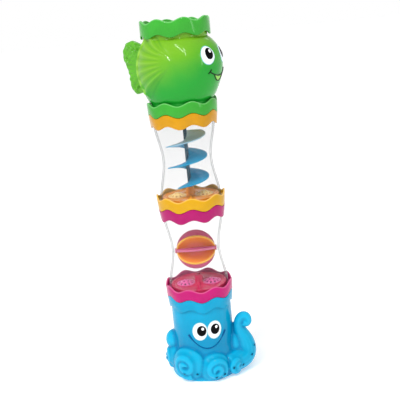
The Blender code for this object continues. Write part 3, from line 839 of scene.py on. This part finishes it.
class BuildScrew(bpy.types.Operator):
    """Builds the right-handed screw, its shaft and the bearing above it"""

    bl_idname = "tower.build_screw"
    bl_label = "Build screw"

    def execute(self, context):
        colours = context.scene.tower_colours
        self.build_flight(screw_finish(colours.teal))
        shaft = rod("screw_shaft", 1.8 * MM, SCREW_FOOT, SCREW_HEAD, 40)
        round_edges(shaft, 0.4 * MM)
        shaft_finish = moulded("shaft_plastic", colours.shaft)
        finish_piece(shaft, "water_screw", "screw_blue_plastic", shaft_finish)
        self.build_spider(bpy.data.materials["collar_orange"])
        return {"FINISHED"}

    def build_spider(self, finish):
        """Ring, three arms and a hub that steady the top of the shaft."""
        low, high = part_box("bearing_spider")
        bottom, top, rim = low.z, high.z, high.x
        inside = rim - 2.4 * MM
        ring = [(rim, bottom), (rim, top), (inside, top), (inside, bottom)]
        spider = lathe("spider", ring, 128)
        reach = rim - 1.2 * MM
        middle = (0, -reach / 2, (bottom + top) / 2)
        for arm in range(3):
            bar = primitive("bar", "cube", size=1, location=middle)
            bar.scale = (3 * MM, reach, 2.2 * MM)
            settle(bar)
            turn_about(bar, arm * FULL_TURN / 3, "Z")
            cut(spider, bar, "UNION")
        cut(spider, rod("hub", 4.5 * MM, bottom, top), "UNION")
        cut(spider, rod("bore", 1.9 * MM, bottom - 5 * MM, top + 5 * MM))
        round_edges(spider, 0.3 * MM, 2)
        finish_piece(spider, "screw_tube", "orange_plastic", finish, ["bearing_spider"])

    def build_flight(self, finish):
        """Sweeps the blade's section up round the shaft: thick at the root, thin at the rim."""
        root, rim, droop = 1.0 * MM, 19.6 * MM, 1.2 * MM
        start, sweep, pitch = math.radians(-125), math.radians(880), 20.6 * MM
        top = JUNCTION_WHEEL + 71.5 * MM
        foot = top - pitch * sweep / FULL_TURN
        steps = 176
        stations = [step / 12 for step in range(13)]

        def corner(share, side):
            half = (0.95 - 0.5 * share) * MM
            return root + (rim - root) * share, foot + half * side - droop * share * share

        outline = [corner(share, -1) for share in stations]
        outline += [corner(share, 1) for share in reversed(stations)]
        flight = primitive("screw_flight", "circle", vertices=len(outline), radius=1)
        for vertex, (radius, height) in zip(flight.data.vertices, outline):
            vertex.co = (radius, 0, height)
        turn_about(flight, start, "Z")
        turns = {"angle": sweep, "steps": steps, "render_steps": steps, "axis": "Z"}
        apply_modifier(flight, "SCREW", screw_offset=top - foot, **turns)
        edit_all(flight)
        bpy.ops.mesh.fill_holes(sides=0)
        leave_edit()
        mend(flight)
        round_edges(flight, 0.3 * MM, 2, math.radians(50))
        finish_piece(flight, "water_screw", "screw_blue_plastic", finish, ["water_screw"])


# Paddle wheel


class BuildWheel(bpy.types.Operator):
    """Builds the ball-shaped paddle wheel and its axle"""

    bl_idname = "tower.build_wheel"
    bl_label = "Build paddle wheel"

    def execute(self, context):
        colours = context.scene.tower_colours
        tilt, half_axle = math.radians(13), 20.6 * MM
        outer = colours.paddle_pink
        # Pink discs: painted shade near the hub, painted light along the rim.
        pink = paddle_finish("paddle_pink", brighter(outer, 0.95), outer, linear(208, 104, 142))
        # Orange paddles: painted pink showing through near the hub, painted highlight along the
        # rim.
        inner, outer = linear(244, 146, 116), colours.paddle_orange
        orange = paddle_finish("paddle_orange", inner, outer, linear(252, 196, 74))
        rotor = rod("rotor", 2.7 * MM, -half_axle, half_axle, 40)
        round_edges(rotor, 0.5 * MM)
        turn_about(rotor, math.pi / 2, "Y")
        for quarter in (0, 1):
            disc = self.disc(f"rotor_disc_{quarter}")
            turn_about(disc, -(tilt + quarter * math.pi / 2), "X")
            cut(rotor, disc, "UNION")
        shift(rotor, 0, 0, WHEEL_CENTRE)
        rotor.name = "pink_paddles"
        nodes = ["paddle_rotor", "wheel_axle"]
        finish_piece(rotor, "paddle_wheel", "paddle_pink_plastic", pink, nodes)
        for number in range(4):
            paddle = self.disc(f"orange_paddle_blade_{number + 1}")
            self.halve(paddle, 3.0 * MM)
            turn_about(paddle, -(tilt + math.radians(45 + 90 * number)), "X")
            shift(paddle, 0, 0, WHEEL_CENTRE)
            node = f"orange_paddle_{number + 1}"
            finish_piece(paddle, "paddle_wheel", "paddle_orange_plastic", orange, [node])
        return {"FINISHED"}

    def disc(self, name):
        """Disc across X and Y with a bead round its rim on both faces."""
        disc = rod(name, WHEEL_RADIUS, -1 * MM, 1 * MM, 96)
        edit_all(disc)
        bpy.ops.mesh.select_mode(type="FACE")
        bpy.ops.mesh.select_all(action="DESELECT")
        leave_edit()
        for face in disc.data.polygons:
            face.select = abs(face.normal.z) > 0.9
        bpy.ops.object.mode_set(mode="EDIT")
        bpy.ops.mesh.inset(thickness=1.3 * MM, depth=-0.35 * MM)
        leave_edit()
        round_edges(disc, 0.25 * MM, 2, math.radians(30))
        return disc

    def halve(self, disc, foot):
        """Keeps the half of the disc towards -Y, from a foot beside the hub outwards."""
        edit_all(disc)
        bpy.ops.mesh.bisect(
            plane_co=(0, -foot, 0), plane_no=(0, 1, 0), use_fill=True, clear_outer=True
        )
        leave_edit()
        mend(disc)


# Fish


def fish_radius(bearing, height):
    """Outer radius of the fish without its fins."""
    facing = math.cos(bearing - FISH_BEARING)
    middle = JUNCTION_SCREW + 44.5 * MM + 3.5 * MM * facing
    limit = FISH_SHOULDER if height > middle else FISH_FOOT
    share = min(1.0, (height - middle) / (limit - middle))
    bulge = math.cos(math.pi / 2 * share) ** 0.8 if share < 1 else 0.0
    return TUBE_END + (40 * MM + 2.2 * MM * facing - TUBE_END) * bulge


def fin_place(bearing, height):
    """Length and angle from the nearer fin's root, and how far inside the fan, from 0 to 1."""
    turn = abs(math.remainder(bearing - FISH_BEARING, FULL_TURN))
    across = (turn - math.radians(67)) * 40 * MM
    rise = height - (JUNCTION_SCREW + 50 * MM)
    length, angle = math.hypot(across, rise), math.atan2(rise, across)
    return length, angle, 1 - smooth_step(FIN_SPREAD - 0.09, FIN_SPREAD + 0.05, abs(angle))


def ridge(value, middle, width):
    """1 at the middle, fading to nothing over a few widths."""
    return math.exp(-(((value - middle) / width) ** 2))


def fin_height(bearing, height):
    """How far the side fins stand out: a ribbed fan with a raised trailing edge."""
    length, angle, inside = fin_place(bearing, height)
    outer = FIN_LENGTH + 0.8 * MM * math.cos(FIN_RIBS * angle)
    reach = smooth_step(2 * MM, 30 * MM, length)
    reach *= 1 - smooth_step(outer - 1 * MM, outer + 1.5 * MM, length)
    ribs = 0.26 * math.cos(FIN_RIBS * angle) * smooth_step(8 * MM, 22 * MM, length)
    ribs *= 1 - smooth_step(outer - 9 * MM, outer - 5 * MM, length)
    lip = ridge(length, outer - 2 * MM, 1.6 * MM) * inside
    edge = ridge(abs(angle), FIN_SPREAD - 0.1, 0.06) * smooth_step(6 * MM, 20 * MM, length)
    stand = 0.75 * inside * reach * (1 + ribs) + 0.8 * lip + 0.45 * edge * reach
    return bpy.context.scene.tower_sizes.fin_relief * stand


def fin_shading(bearing, height):
    """How pale a spot of the fin is painted: a highlight on ridges and edge above 0, a shade in
    grooves below.
    """
    length, angle, inside = fin_place(bearing, height)
    reach = smooth_step(8 * MM, 22 * MM, length)
    reach *= 1 - smooth_step(FIN_LENGTH - 2 * MM, FIN_LENGTH + 3 * MM, length)
    lip = ridge(length, FIN_LENGTH - 2 * MM, 1.8 * MM) * inside
    edge = ridge(abs(angle), FIN_SPREAD + 0.06, 0.05) * reach
    return 0.5 * math.cos(FIN_RIBS * angle) * inside * reach + 1.2 * lip - 0.6 * edge


def skin_point(bearing, height, lift=0.0):
    radius = fish_radius(bearing, height) + fin_height(bearing, height) + lift
    return at_bearing(bearing, radius, height)


def fish_patch(name, middle_bearing, middle_height, outline, lift, rings=6):
    """Thin shell on the fish's skin. outline is a closed list of (across, up) in metres."""
    middle = (middle_bearing, middle_height)
    return wall_patch(name, *middle, outline, lift, rings, skin_point, FISH_REACH)


def head_point(bearing, height, lift=0.0):
    return at_bearing(bearing, HEAD_RADIUS + lift, height)


def wall_patch(name, middle_bearing, middle_height, outline, lift, rings, surface, radius):
    """Domed print on a wall. outline is a closed list of (across, up) round its middle."""
    count = len(outline)
    obj = primitive(name, "grid", x_subdivisions=count, y_subdivisions=rings, size=2)
    middle = [sum(place[axis] for place in outline) / count for axis in (0, 1)]

    def lay(place):
        column = round((place.x + 1) / 2 * count) % count
        share = 0.02 + 0.98 * (place.y + 1) / 2
        across, up = (
            middle[axis] + (outline[column][axis] - middle[axis]) * share for axis in (0, 1)
        )
        height = lift - 0.25 * MM * share**3
        return surface(middle_bearing + across / radius, middle_height + up, height)

    sculpt(obj, lay)
    edit_all(obj)
    bpy.ops.mesh.remove_doubles(threshold=1e-6)
    bpy.ops.mesh.select_all(action="DESELECT")
    bpy.ops.mesh.select_mode(type="EDGE")
    leave_edit()
    close_smallest_hole(obj)
    mend(obj, 1e-7)
    outward = at_bearing(middle_bearing, 1, 0)
    if sum((face.normal for face in obj.data.polygons), Vector()).dot(outward) < 0:
        edit_all(obj)
        bpy.ops.mesh.flip_normals()
        leave_edit()
    apply_modifier(obj, "SOLIDIFY", thickness=0.5 * MM, offset=-1)
    return obj


def close_smallest_hole(obj):
    """Fills the pinhole at the middle of a polar grid, whose edges are its shortest."""
    used = {}
    for face in obj.data.polygons:
        for key in face.edge_keys:
            used[key] = used.get(key, 0) + 1
    points = obj.data.vertices
    rims = [edge for edge in obj.data.edges if used[edge.key] == 1]
    ends = [[points[spot].co for spot in edge.vertices] for edge in rims]
    lengths = [(first - second).length for first, second in ends]
    limit = (min(lengths) * max(lengths)) ** 0.5
    pick(obj)
    for edge, length in zip(rims, lengths):
        edge.select = length < limit
    bpy.ops.object.mode_set(mode="EDIT")
    bpy.ops.mesh.edge_face_add()
    leave_edit()


def oval(half_width, half_height, lean=0.0, count=48, centre=(0.0, 0.0)):
    places = []
    for step in range(count):
        angle = FULL_TURN * step / count
        x, y = half_width * math.cos(angle), half_height * math.sin(angle)
        across = centre[0] + x * math.cos(lean) - y * math.sin(lean)
        places.append((across, centre[1] + x * math.sin(lean) + y * math.cos(lean)))
    return places


class BuildFishBody(bpy.types.Operator):
    """Builds the fish's two shells, with a ribbed fin on each, and its tail"""

    bl_idname = "tower.build_fish_body"
    bl_label = "Build fish body"

    def execute(self, context):
        green = finish_named("fish_green", fish_finish)
        wall = context.scene.tower_sizes.wall
        low, high = (corner.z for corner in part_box("fish_right_shell"))
        for node, start in (("fish_right_shell", -math.pi), ("fish_left_shell", 0.0)):
            obj = self.shell(node + "_skin", FISH_BEARING + start, low, high)
            apply_modifier(obj, "SOLIDIFY", thickness=wall, offset=-1)
            round_edges(obj, 0.2 * MM, 2, math.radians(60))
            finish_piece(obj, "fish", "green_plastic", green, [node])
        self.tail(moulded("tail_green", linear(92, 168, 46)))
        return {"FINISHED"}

    def shell(self, name, start, low, high):
        """Half of the skin as a sheet, with the fin's relief and its painted highlight and shade.
        """
        gap = 0.05 * MM / TUBE_END
        obj = primitive(name, "grid", x_subdivisions=220, y_subdivisions=130, size=2)

        def spot(place):
            bearing = start + gap + (math.pi - 2 * gap) * (place.x + 1) / 2
            return bearing, low + (high - low) * (place.y + 1) / 2

        relief = obj.data.attributes.new("relief", "FLOAT", "POINT")
        # The fin's painted highlight and shade go on each vertex as the relief attribute.
        fin_shadings = [fin_shading(*spot(vertex.co)) for vertex in obj.data.vertices]
        relief.data.foreach_set("value", fin_shadings)
        sculpt(obj, lambda place: skin_point(*spot(place)))
        return obj

    def tail(self, green):
        """Fleshy tail of two lobes with grooves that run out to its edge."""
        outline = [
            (30, 60), (38, 67), (46, 70.5), (52.5, 68.5), (56.6, 62), (57.3, 54),
            (54.5, 46.5), (52.3, 39), (52.3, 31), (50.6, 23.5), (46, 19), (39, 20.5), (31, 27),
        ]
        corners = {"vertices": len(outline), "radius": 1, "fill_type": "NGON"}
        tail = primitive("fish_tail_skin", "circle", **corners)
        for vertex, (radius, rise) in zip(tail.data.vertices, outline):
            vertex.co = (radius * MM, 0, JUNCTION_SCREW + rise * MM)
        apply_modifier(tail, "SOLIDIFY", thickness=9.5 * MM, offset=0)
        mend(tail)
        round_edges(tail, 3.6 * MM, 3, math.radians(60))
        apply_modifier(tail, "REMESH", mode="VOXEL", voxel_size=0.6 * MM)
        apply_modifier(tail, "SMOOTH", factor=0.5, iterations=12)
        root = Vector((34 * MM, 0, JUNCTION_SCREW + 44 * MM))
        grooves, pits = 22, 1150

        def groove(place):
            away = place - root
            angle = math.atan2(away.z, away.x)
            reach = smooth_step(8 * MM, 20 * MM, math.hypot(away.x, away.z))
            dimples = math.sin(pits * away.z) * math.sin(pits * away.x)
            bumps = math.sin(grooves * angle) * 0.6 + 0.5 * dimples
            place.y *= 1 + 0.24 * reach * bumps - 0.18 * smooth_step(16 * MM, 27 * MM, away.x)
            return place

        sculpt(tail, groove)
        turn_about(tail, FISH_BEARING + math.pi - math.pi / 2, "Z")
        finish_piece(tail, "fish", "green_plastic", green, ["fish_tail"])


def build_eye(node, body, bearing, height, white_size, pupil_size, look, patch, lean=0.0):
    """White, pupil and glint, each laid a little higher on the wall."""
    width, tall = white_size
    ring = oval(width + 0.6 * MM, tall + 0.6 * MM, lean)
    spark = oval(1.3 * MM, 1.5 * MM, 0, 20, (look[0] + 1.2 * MM, look[1] + 2.2 * MM))
    layers = [
        ("ring", ring, 0.3, (linear(130, 190, 200),)),
        ("white", oval(width, tall, lean), 0.48, (linear(236, 244, 248),)),
        ("pupil", oval(*pupil_size, lean, 40, look), 0.78, (linear(4, 4, 7), 0.08, 0.05)),
        ("glint", spark, 1.08, (WHITE,)),
    ]
    for word, outline, lift, paint in layers:
        piece = patch(f"{node}_print_{word}", bearing, height, outline, lift * MM)
        finish = finish_named("eye_" + word, painted, *paint)
        nodes = [node] if word == "white" else ()
        finish_piece(piece, body, "eye_white_plastic", finish, nodes)


class BuildFishFace(bpy.types.Operator):
    """Builds the fish's eyes and its open smile"""

    bl_idname = "tower.build_fish_face"
    bl_label = "Build fish face"

    def execute(self, context):
        height = JUNCTION_SCREW + 52 * MM
        white, pupil = (7.6 * MM, 7.9 * MM), (4.5 * MM, 5.1 * MM)
        for node, side in (("fish_right_eye", -1), ("fish_left_eye", 1)):
            bearing = FISH_BEARING + side * math.radians(19 - 4 * side)
            look = (-side * 1.3 * MM, 1.5 * MM)
            build_eye(node, "fish", bearing, height, white, pupil, look, fish_patch)
        self.mouth()
        return {"FINISHED"}

    def mouth(self):
        """Dark lips round a pale tongue, and a tick at each corner."""
        middle = JUNCTION_SCREW + 32.8 * MM
        span, opening = math.radians(21), math.radians(13)
        rise, drop, lift = 4 * MM, 4.8 * MM, 0.25 * MM
        dark = painted("mouth_line", linear(18, 40, 22), 0.2)
        pale = painted("mouth_inside", linear(150, 214, 96), 0.25)

        def upper(turn):
            return middle + rise * (turn / span) ** 2

        def lower(turn):
            return middle - drop + (upper(opening) - middle + drop) * (turn / opening) ** 2

        turns = [-1 + 2 * step / 24 for step in range(25)]
        lips = [
            [skin_point(FISH_BEARING + reach * t, edge(reach * t), lift) for t in turns]
            for reach, edge in ((span, upper), (opening, lower))
        ]
        tick = [(-0.03, 2.2 * MM), (0.01, 0.4 * MM), (0.05, -1.0 * MM), (0.055, -1.2 * MM)]
        for side in (-1, 1):
            corner = FISH_BEARING + side * span
            lips.append([skin_point(corner + side * t, upper(span) + up, lift) for t, up in tick])
        tubes = [
            tube_along(f"lip_{number}", places, [0.52 * MM] * len(places), 3)
            for number, places in enumerate(lips)
        ]
        line = join(tubes)
        line.name = "fish_mouth_line"
        finish_piece(line, "fish", "eye_white_plastic", dark)
        outline = []
        for step in range(17):
            turn = opening * (-1 + 2 * step / 16)
            outline.append((turn * FISH_REACH, lower(turn) - middle))
        for step in range(1, 16):
            turn = opening * (1 - 2 * step / 16)
            outline.append((turn * FISH_REACH, upper(turn) - middle))
        inside = fish_patch("fish_mouth_inside", FISH_BEARING, middle, outline, 0.3 * MM, 4)
        finish_piece(inside, "fish", "eye_white_plastic", pale)


# Octopus


class BuildOctopusBody(bpy.types.Operator):
    """Builds the octopus's hollow head, melted into its rolled tentacles and raised arm"""

    bl_idname = "tower.build_octopus_body"
    bl_label = "Build octopus body"

    def execute(self, context):
        blue = finish_named("octopus_blue", octopus_finish)
        top, neck, chin = JUNCTION_OCTOPUS - 1 * MM, 29.6 * MM, 31 * MM
        outline = [
            (0.0, 0.0),
            (34.5 * MM, 0.0),
            (35 * MM, 8 * MM),
            (33.8 * MM, 14 * MM),
            (31.6 * MM, 22 * MM),
            (HEAD_RADIUS, chin),
            (HEAD_RADIUS, top - 15 * MM),
            (neck, top - 8 * MM),
            (neck, top),
            (0.0, top),
        ]
        parts = [lathe("octopus_skin", outline, 96)]
        parts += self.tentacles()
        parts += self.arm()
        skin = join(parts)
        skin.name = "octopus_skin"
        voxel = context.scene.tower_sizes.voxel
        apply_modifier(skin, "REMESH", mode="VOXEL", voxel_size=voxel)
        apply_modifier(skin, "SMOOTH", factor=0.5, iterations=10)
        self.mark_relief(skin)
        below_floor, cup = (90 * MM, -30 * MM, 0.0), (27.8 * MM, 3 * MM, 100 * MM)
        for hollow in (below_floor, cup):
            cut(skin, rod("hollow", *hollow, 128))
        self.suckers(skin)
        nodes = ["octopus_head", "octopus_tentacles", "octopus_floor"]
        finish_piece(skin, "octopus", "blue_plastic", blue, nodes, math.radians(60))
        return {"FINISHED"}

    def mark_relief(self, skin):
        """Stores how far each spot stands out of its surroundings, from -1 to 1, for painted
        highlight and shade.
        """
        shape = skin.data
        first = [vertex.co.copy() for vertex in shape.vertices]
        smooth = list(first)
        links = [[] for _vertex in first]
        for edge in shape.edges:
            one, other = edge.vertices
            links[one].append(other)
            links[other].append(one)
        for _round in range(10):
            smooth = [
                sum((smooth[near] for near in links[spot]), Vector()) / max(1, len(links[spot]))
                for spot in range(len(first))
            ]
        values = [
            max(-1.0, min(1.0, (first[spot] - smooth[spot]).dot(vertex.normal) / (0.25 * MM)))
            for spot, vertex in enumerate(shape.vertices)
        ]
        shape.attributes.new("relief", "FLOAT", "POINT").data.foreach_set("value", values)

    def roll(self, name, bearing, radius, height, size, thickness, hand):
        """Tentacle rolled up like a fern against the foot, seen face on from outside."""
        places, radii = [], []
        start, turns, steps = math.radians(-60), 1.75, 34
        for step in range(steps + 1):
            share = step / steps
            angle = start + hand * FULL_TURN * turns * share
            reach = (size - thickness) * (1 - 0.9 * share)
            across, up = reach * math.cos(angle), reach * math.sin(angle)
            out = radius + 4.2 * MM * share
            places.append(at_bearing(bearing + across / radius, out, max(height + up, thickness)))
            radii.append(thickness * (1 - 0.4 * share))
        return tube_along(name, places, radii)

    def lump(self, name, bearing, radius, height, across, out, up):
        """Soft mass that fills a roll from behind."""
        ball = primitive(name, "uv_sphere", segments=32, ring_count=16, radius=1)
        place = Matrix.Translation(at_bearing(bearing, radius, height))
        shape = Matrix.Rotation(bearing, 4, "Z") @ Matrix.Diagonal((across, out, up, 1))
        ball.data.transform(place @ shape)
        return ball

    def tentacles(self):
        """Rolls round the foot, the front-left one the biggest, and a small one above the left.

        Each is its bearing, radius, height, size, thickness and the hand that it turns by.
        """
        rolls = [
            (-34, 34.8, 16.5, 16.4, 4.8, -1),
            (14.5, 35.6, 12.5, 14.2, 4.3, 1),
            (49, 38.5, 11.0, 10.5, 3.4, -1),
            (118, 34, 12.5, 12.8, 4.0, -1),
            (160, 34, 12.5, 12.8, 4.0, 1),
            (203, 34, 12.5, 12.8, 4.0, -1),
            (243, 34, 12.5, 12.8, 4.0, 1),
            (279, 35, 18.0, 12.5, 4.0, -1),
            (272, 32, 34.0, 9.2, 3.4, 1),
        ]
        made = []
        for number, (degrees, *lengths, hand) in enumerate(rolls, 1):
            bearing = math.radians(degrees)
            radius, height, size, thickness = (length * MM for length in lengths)
            shape = (bearing, radius, height, size, thickness, hand)
            made.append(self.roll(f"roll_{number}", *shape))
            mass = (size + 1.5 * MM, 9.3 * MM, size + 1.0 * MM)
            made.append(self.lump(f"mass_{number}", bearing, HEAD_RADIUS, height, *mass))
        return made

    def arm(self):
        """Arm raised at the right, broad at the elbow, with its end rolled into a fist."""
        path = [
            (20, -22, 11, 11), (29, -16, 11.5, 11.5), (38, -10, 12.5, 12.2),
            (41.5, -8, 20, 11.2), (40.5, -8, 29, 9.6), (37.5, -8, 37, 7.4),
            (35.5, -8, 44, 5.8), (36.5, -8, 52, 5.2), (41.5, -8, 56, 4.9),
            (45.8, -8.8, 52, 4.7), (44, -10.5, 46.5, 4.3), (40, -11.5, 49.5, 3.6),
        ]
        places = [Vector((x * MM, y * MM, z * MM)) for x, y, z, _radius in path]
        arm = tube_along("raised_arm", places, [radius * MM for *_place, radius in path])
        middle = (0.0, 0.0, 0.0)
        fist = self.lump("fist", *middle, 6.4 * MM, 5.2 * MM, 6.4 * MM)
        shift(fist, 41 * MM, -8 * MM, 51 * MM)
        web = self.lump("web", *middle, 10 * MM, 9 * MM, 20 * MM)
        shift(web, 31 * MM, -8 * MM, 20 * MM)
        return [arm, fist, web]

    def suckers(self, skin):
        """Small ringed suckers along the outer edges of the front tentacles, with dark discs of
        painted shade.
        """
        tree = BVHTree.FromObject(skin, bpy.context.evaluated_depsgraph_get())
        spots = [
            (-27, -40, 6), (-10, -42, 8), (9.5, -43, 4), (19, -40, 7), (27, -33, 11),
            (36, -24, 10), (46, -18, 17), (50, -14, 25), (-41, -22, 9), (-44, -4, 14),
        ]
        radii = {"major_radius": 1.55 * MM, "minor_radius": 0.42 * MM}
        counts = {"major_segments": 28, "minor_segments": 10}
        shade_disc_size = Matrix.Diagonal((1.2 * MM, 1.2 * MM, 0.3 * MM, 1))
        rings, pits = [], []
        for spot in spots:
            place, normal, _index, _distance = tree.find_nearest(Vector(spot) * MM)
            turn = normal.to_track_quat("Z", "Y").to_matrix().to_4x4()
            rings.append(primitive("ring", "torus", **radii, **counts))
            rings[-1].data.transform(Matrix.Translation(place) @ turn)
            pits.append(primitive("pit", "uv_sphere", segments=20, ring_count=10, radius=1))
            pits[-1].data.transform(Matrix.Translation(place) @ turn @ shade_disc_size)
        blue = bpy.data.materials["octopus_blue"]
        hollow = bpy.context.scene.tower_colours.deep_blue
        # Painted shade: a dark disc stands in for the shade inside each sucker's cup.
        dark = painted("sucker_pit", brighter(hollow, 0.35))
        for name, parts, finish in (
            ("octopus_suckers", rings, blue),
            ("octopus_sucker_pits", pits, dark),
        ):
            obj = join(parts)
            obj.name = name
            finish_piece(obj, "octopus", "blue_plastic", finish)


class BuildOctopusFace(bpy.types.Operator):
    """Builds the octopus's eyes and its curved smile"""

    bl_idname = "tower.build_octopus_face"
    bl_label = "Build octopus face"

    def execute(self, context):
        looks = (
            ("octopus_right_eye", -1, (1.7 * MM, 0.6 * MM)),
            ("octopus_left_eye", 1, (0.6 * MM, 0.8 * MM)),
        )
        height, white, pupil = 51.3 * MM, (7.2 * MM, 9.0 * MM), (4.6 * MM, 5.4 * MM)
        lean = math.radians(-6)
        for node, side, look in looks:
            bearing = OCTOPUS_FACE + side * math.radians(14)
            build_eye(node, "octopus", bearing, height, white, pupil, look, self.patch, lean)
        span, dip, rise = math.radians(37), 33 * MM, 14.6 * MM
        places, radii = [], []
        for step in range(33):
            turn = -1 + step / 16
            height = dip + rise * turn * turn
            places.append(head_point(OCTOPUS_FACE + span * turn, height, 0.15 * MM))
            radii.append((0.45 + 0.55 * smooth_step(0.72, 0.95, abs(turn))) * MM)
        smile = tube_along("octopus_smile", places, radii, 3)
        line = painted("smile_line", linear(0, 84, 140), 0.2)
        finish_piece(smile, "octopus", "blue_plastic", line)
        return {"FINISHED"}

    def patch(self, name, bearing, height, outline, lift):
        return wall_patch(name, bearing, height, outline, lift, 6, head_point, HEAD_RADIUS)


# Stage


class BuildStage(bpy.types.Operator):
    """Builds the pale floor, the soft lights and the camera"""

    bl_idname = "tower.build_stage"
    bl_label = "Build stage"

    def execute(self, context):
        scene = context.scene
        scene.view_settings.view_transform = "Standard"
        floor = primitive("floor", "plane", size=60, location=(0, 0, -0.2 * MM))
        paper = Finish("paper", Roughness=0.95, Emission_Strength=0.32)
        paper.shader.inputs["Emission Color"].default_value = (1.0, 1.0, 1.0, 1.0)
        cloud = paper.noise(3.0)
        paper.feed("Base Color", paper.mix(cloud * 0.1, (0.92, 0.92, 0.92), (0.89, 0.89, 0.89)))
        floor.data.materials.append(paper.material)
        self.sky(scene)
        self.sun()
        self.light("key", (-0.44, -0.6, 0.84), (0.022, 0.6), 2.9, math.radians(38))
        self.light("second", (0.02, -0.46, 1.06), (0.028, 0.4), 1.2, math.radians(30))
        self.light("third", (0.2, -0.6, 0.98), (0.022, 0.45), 1.0, math.radians(-5))
        self.light("side", (0.75, -0.45, 0.45), (0.1, 0.6), 0.8)
        self.light("back", (0.25, 0.6, 0.9), (0.4, 0.4), 1.0)
        self.camera(scene)
        return {"FINISHED"}

    def sky(self, scene):
        """White round the horizon and dimmer overhead."""
        world = bpy.data.worlds.new("studio")
        world.use_nodes = True
        nodes, links = world.node_tree.nodes, world.node_tree.links
        place = nodes.new("ShaderNodeTexCoord")
        split = nodes.new("ShaderNodeSeparateXYZ")
        rise = nodes.new("ShaderNodeMapRange")
        limits = {"From Min": 0.05, "From Max": 0.45, "To Min": 1.0, "To Max": 0.45}
        for socket, value in limits.items():
            rise.inputs[socket].default_value = value
        links.new(place.outputs["Generated"], split.inputs[0])
        links.new(split.outputs["Z"], rise.inputs["Value"])
        links.new(rise.outputs[0], nodes["Background"].inputs["Strength"])
        nodes["Background"].inputs["Color"].default_value = (1.0, 1.0, 1.0, 1.0)
        scene.world = world

    def sun(self):
        """Wide soft sun for the shadow, without a glint of its own."""
        data = bpy.data.lights.new("sun", "SUN")
        data.energy = 1.15
        data.angle = math.radians(25)
        lamp = bpy.data.objects.new("sun", data)
        lamp.visible_glossy = False
        lamp.rotation_euler = Vector((0.45, 0.55, -1)).to_track_quat("-Z", "Y").to_euler()
        bpy.context.scene.collection.objects.link(lamp)

    def light(self, name, place, size, power, lean=0.0):
        """Strip that faces the middle of the tower, leaning about its own axis."""
        data = bpy.data.lights.new(name, "AREA")
        data.shape = "RECTANGLE"
        data.size, data.size_y = size
        data.energy = power
        lamp = bpy.data.objects.new(name, data)
        lamp.location = place
        aim = Vector((0, 0, 0.2)) - lamp.location
        turn = aim.to_track_quat("-Z", "Y").to_matrix() @ Matrix.Rotation(lean, 3, "Z")
        lamp.rotation_euler = turn.to_euler()
        bpy.context.scene.collection.objects.link(lamp)

    def camera(self, scene):
        """Eye level a little above the fish, looking down, rolled so that the tower leans."""
        data = bpy.data.cameras.new("camera")
        data.sensor_width = 36.0
        data.lens = 66.15
        camera = bpy.data.objects.new("camera", data)
        pitch, roll = math.radians(90 - 13.3), math.radians(-5.3)
        turn = Matrix.Rotation(pitch, 4, "X") @ Matrix.Rotation(roll, 4, "Z")
        camera.matrix_world = Matrix.Translation((8.5 * MM, -700 * MM, 341.5 * MM)) @ turn
        scene.collection.objects.link(camera)
        scene.camera = camera


class TowerPanel(bpy.types.Panel):
    """Lists what the add-on builds"""

    bl_idname = "VIEW3D_PT_bath_tower"
    bl_label = "Bath Tower"
    bl_space_type = "VIEW_3D"
    bl_region_type = "UI"
    bl_category = "Bath Tower"

    def draw(self, context):
        for operator in OPERATORS:
            self.layout.operator(operator.bl_idname)
        for group in (context.scene.tower_sizes, context.scene.tower_colours):
            for name in group.__annotations__:
                self.layout.prop(group, name)


OPERATORS = (
    BuildStage,
    BuildCrowns,
    BuildTubes,
    BuildSieves,
    BuildScrew,
    BuildWheel,
    BuildFishBody,
    BuildFishFace,
    BuildOctopusBody,
    BuildOctopusFace,
)
CLASSES = (TowerColours, TowerSizes, *OPERATORS, TowerPanel)


def register():
    for cls in CLASSES:
        bpy.utils.register_class(cls)
    bpy.types.Scene.tower_colours = bpy.props.PointerProperty(type=TowerColours)
    bpy.types.Scene.tower_sizes = bpy.props.PointerProperty(type=TowerSizes)


def unregister():
    del bpy.types.Scene.tower_colours
    del bpy.types.Scene.tower_sizes
    for cls in reversed(CLASSES):
        bpy.utils.unregister_class(cls)


def main():
    register()
    for operator in OPERATORS:
        group, name = operator.bl_idname.split(".")
        getattr(getattr(bpy.ops, group), name)()


if __name__ == "__main__":
    main()
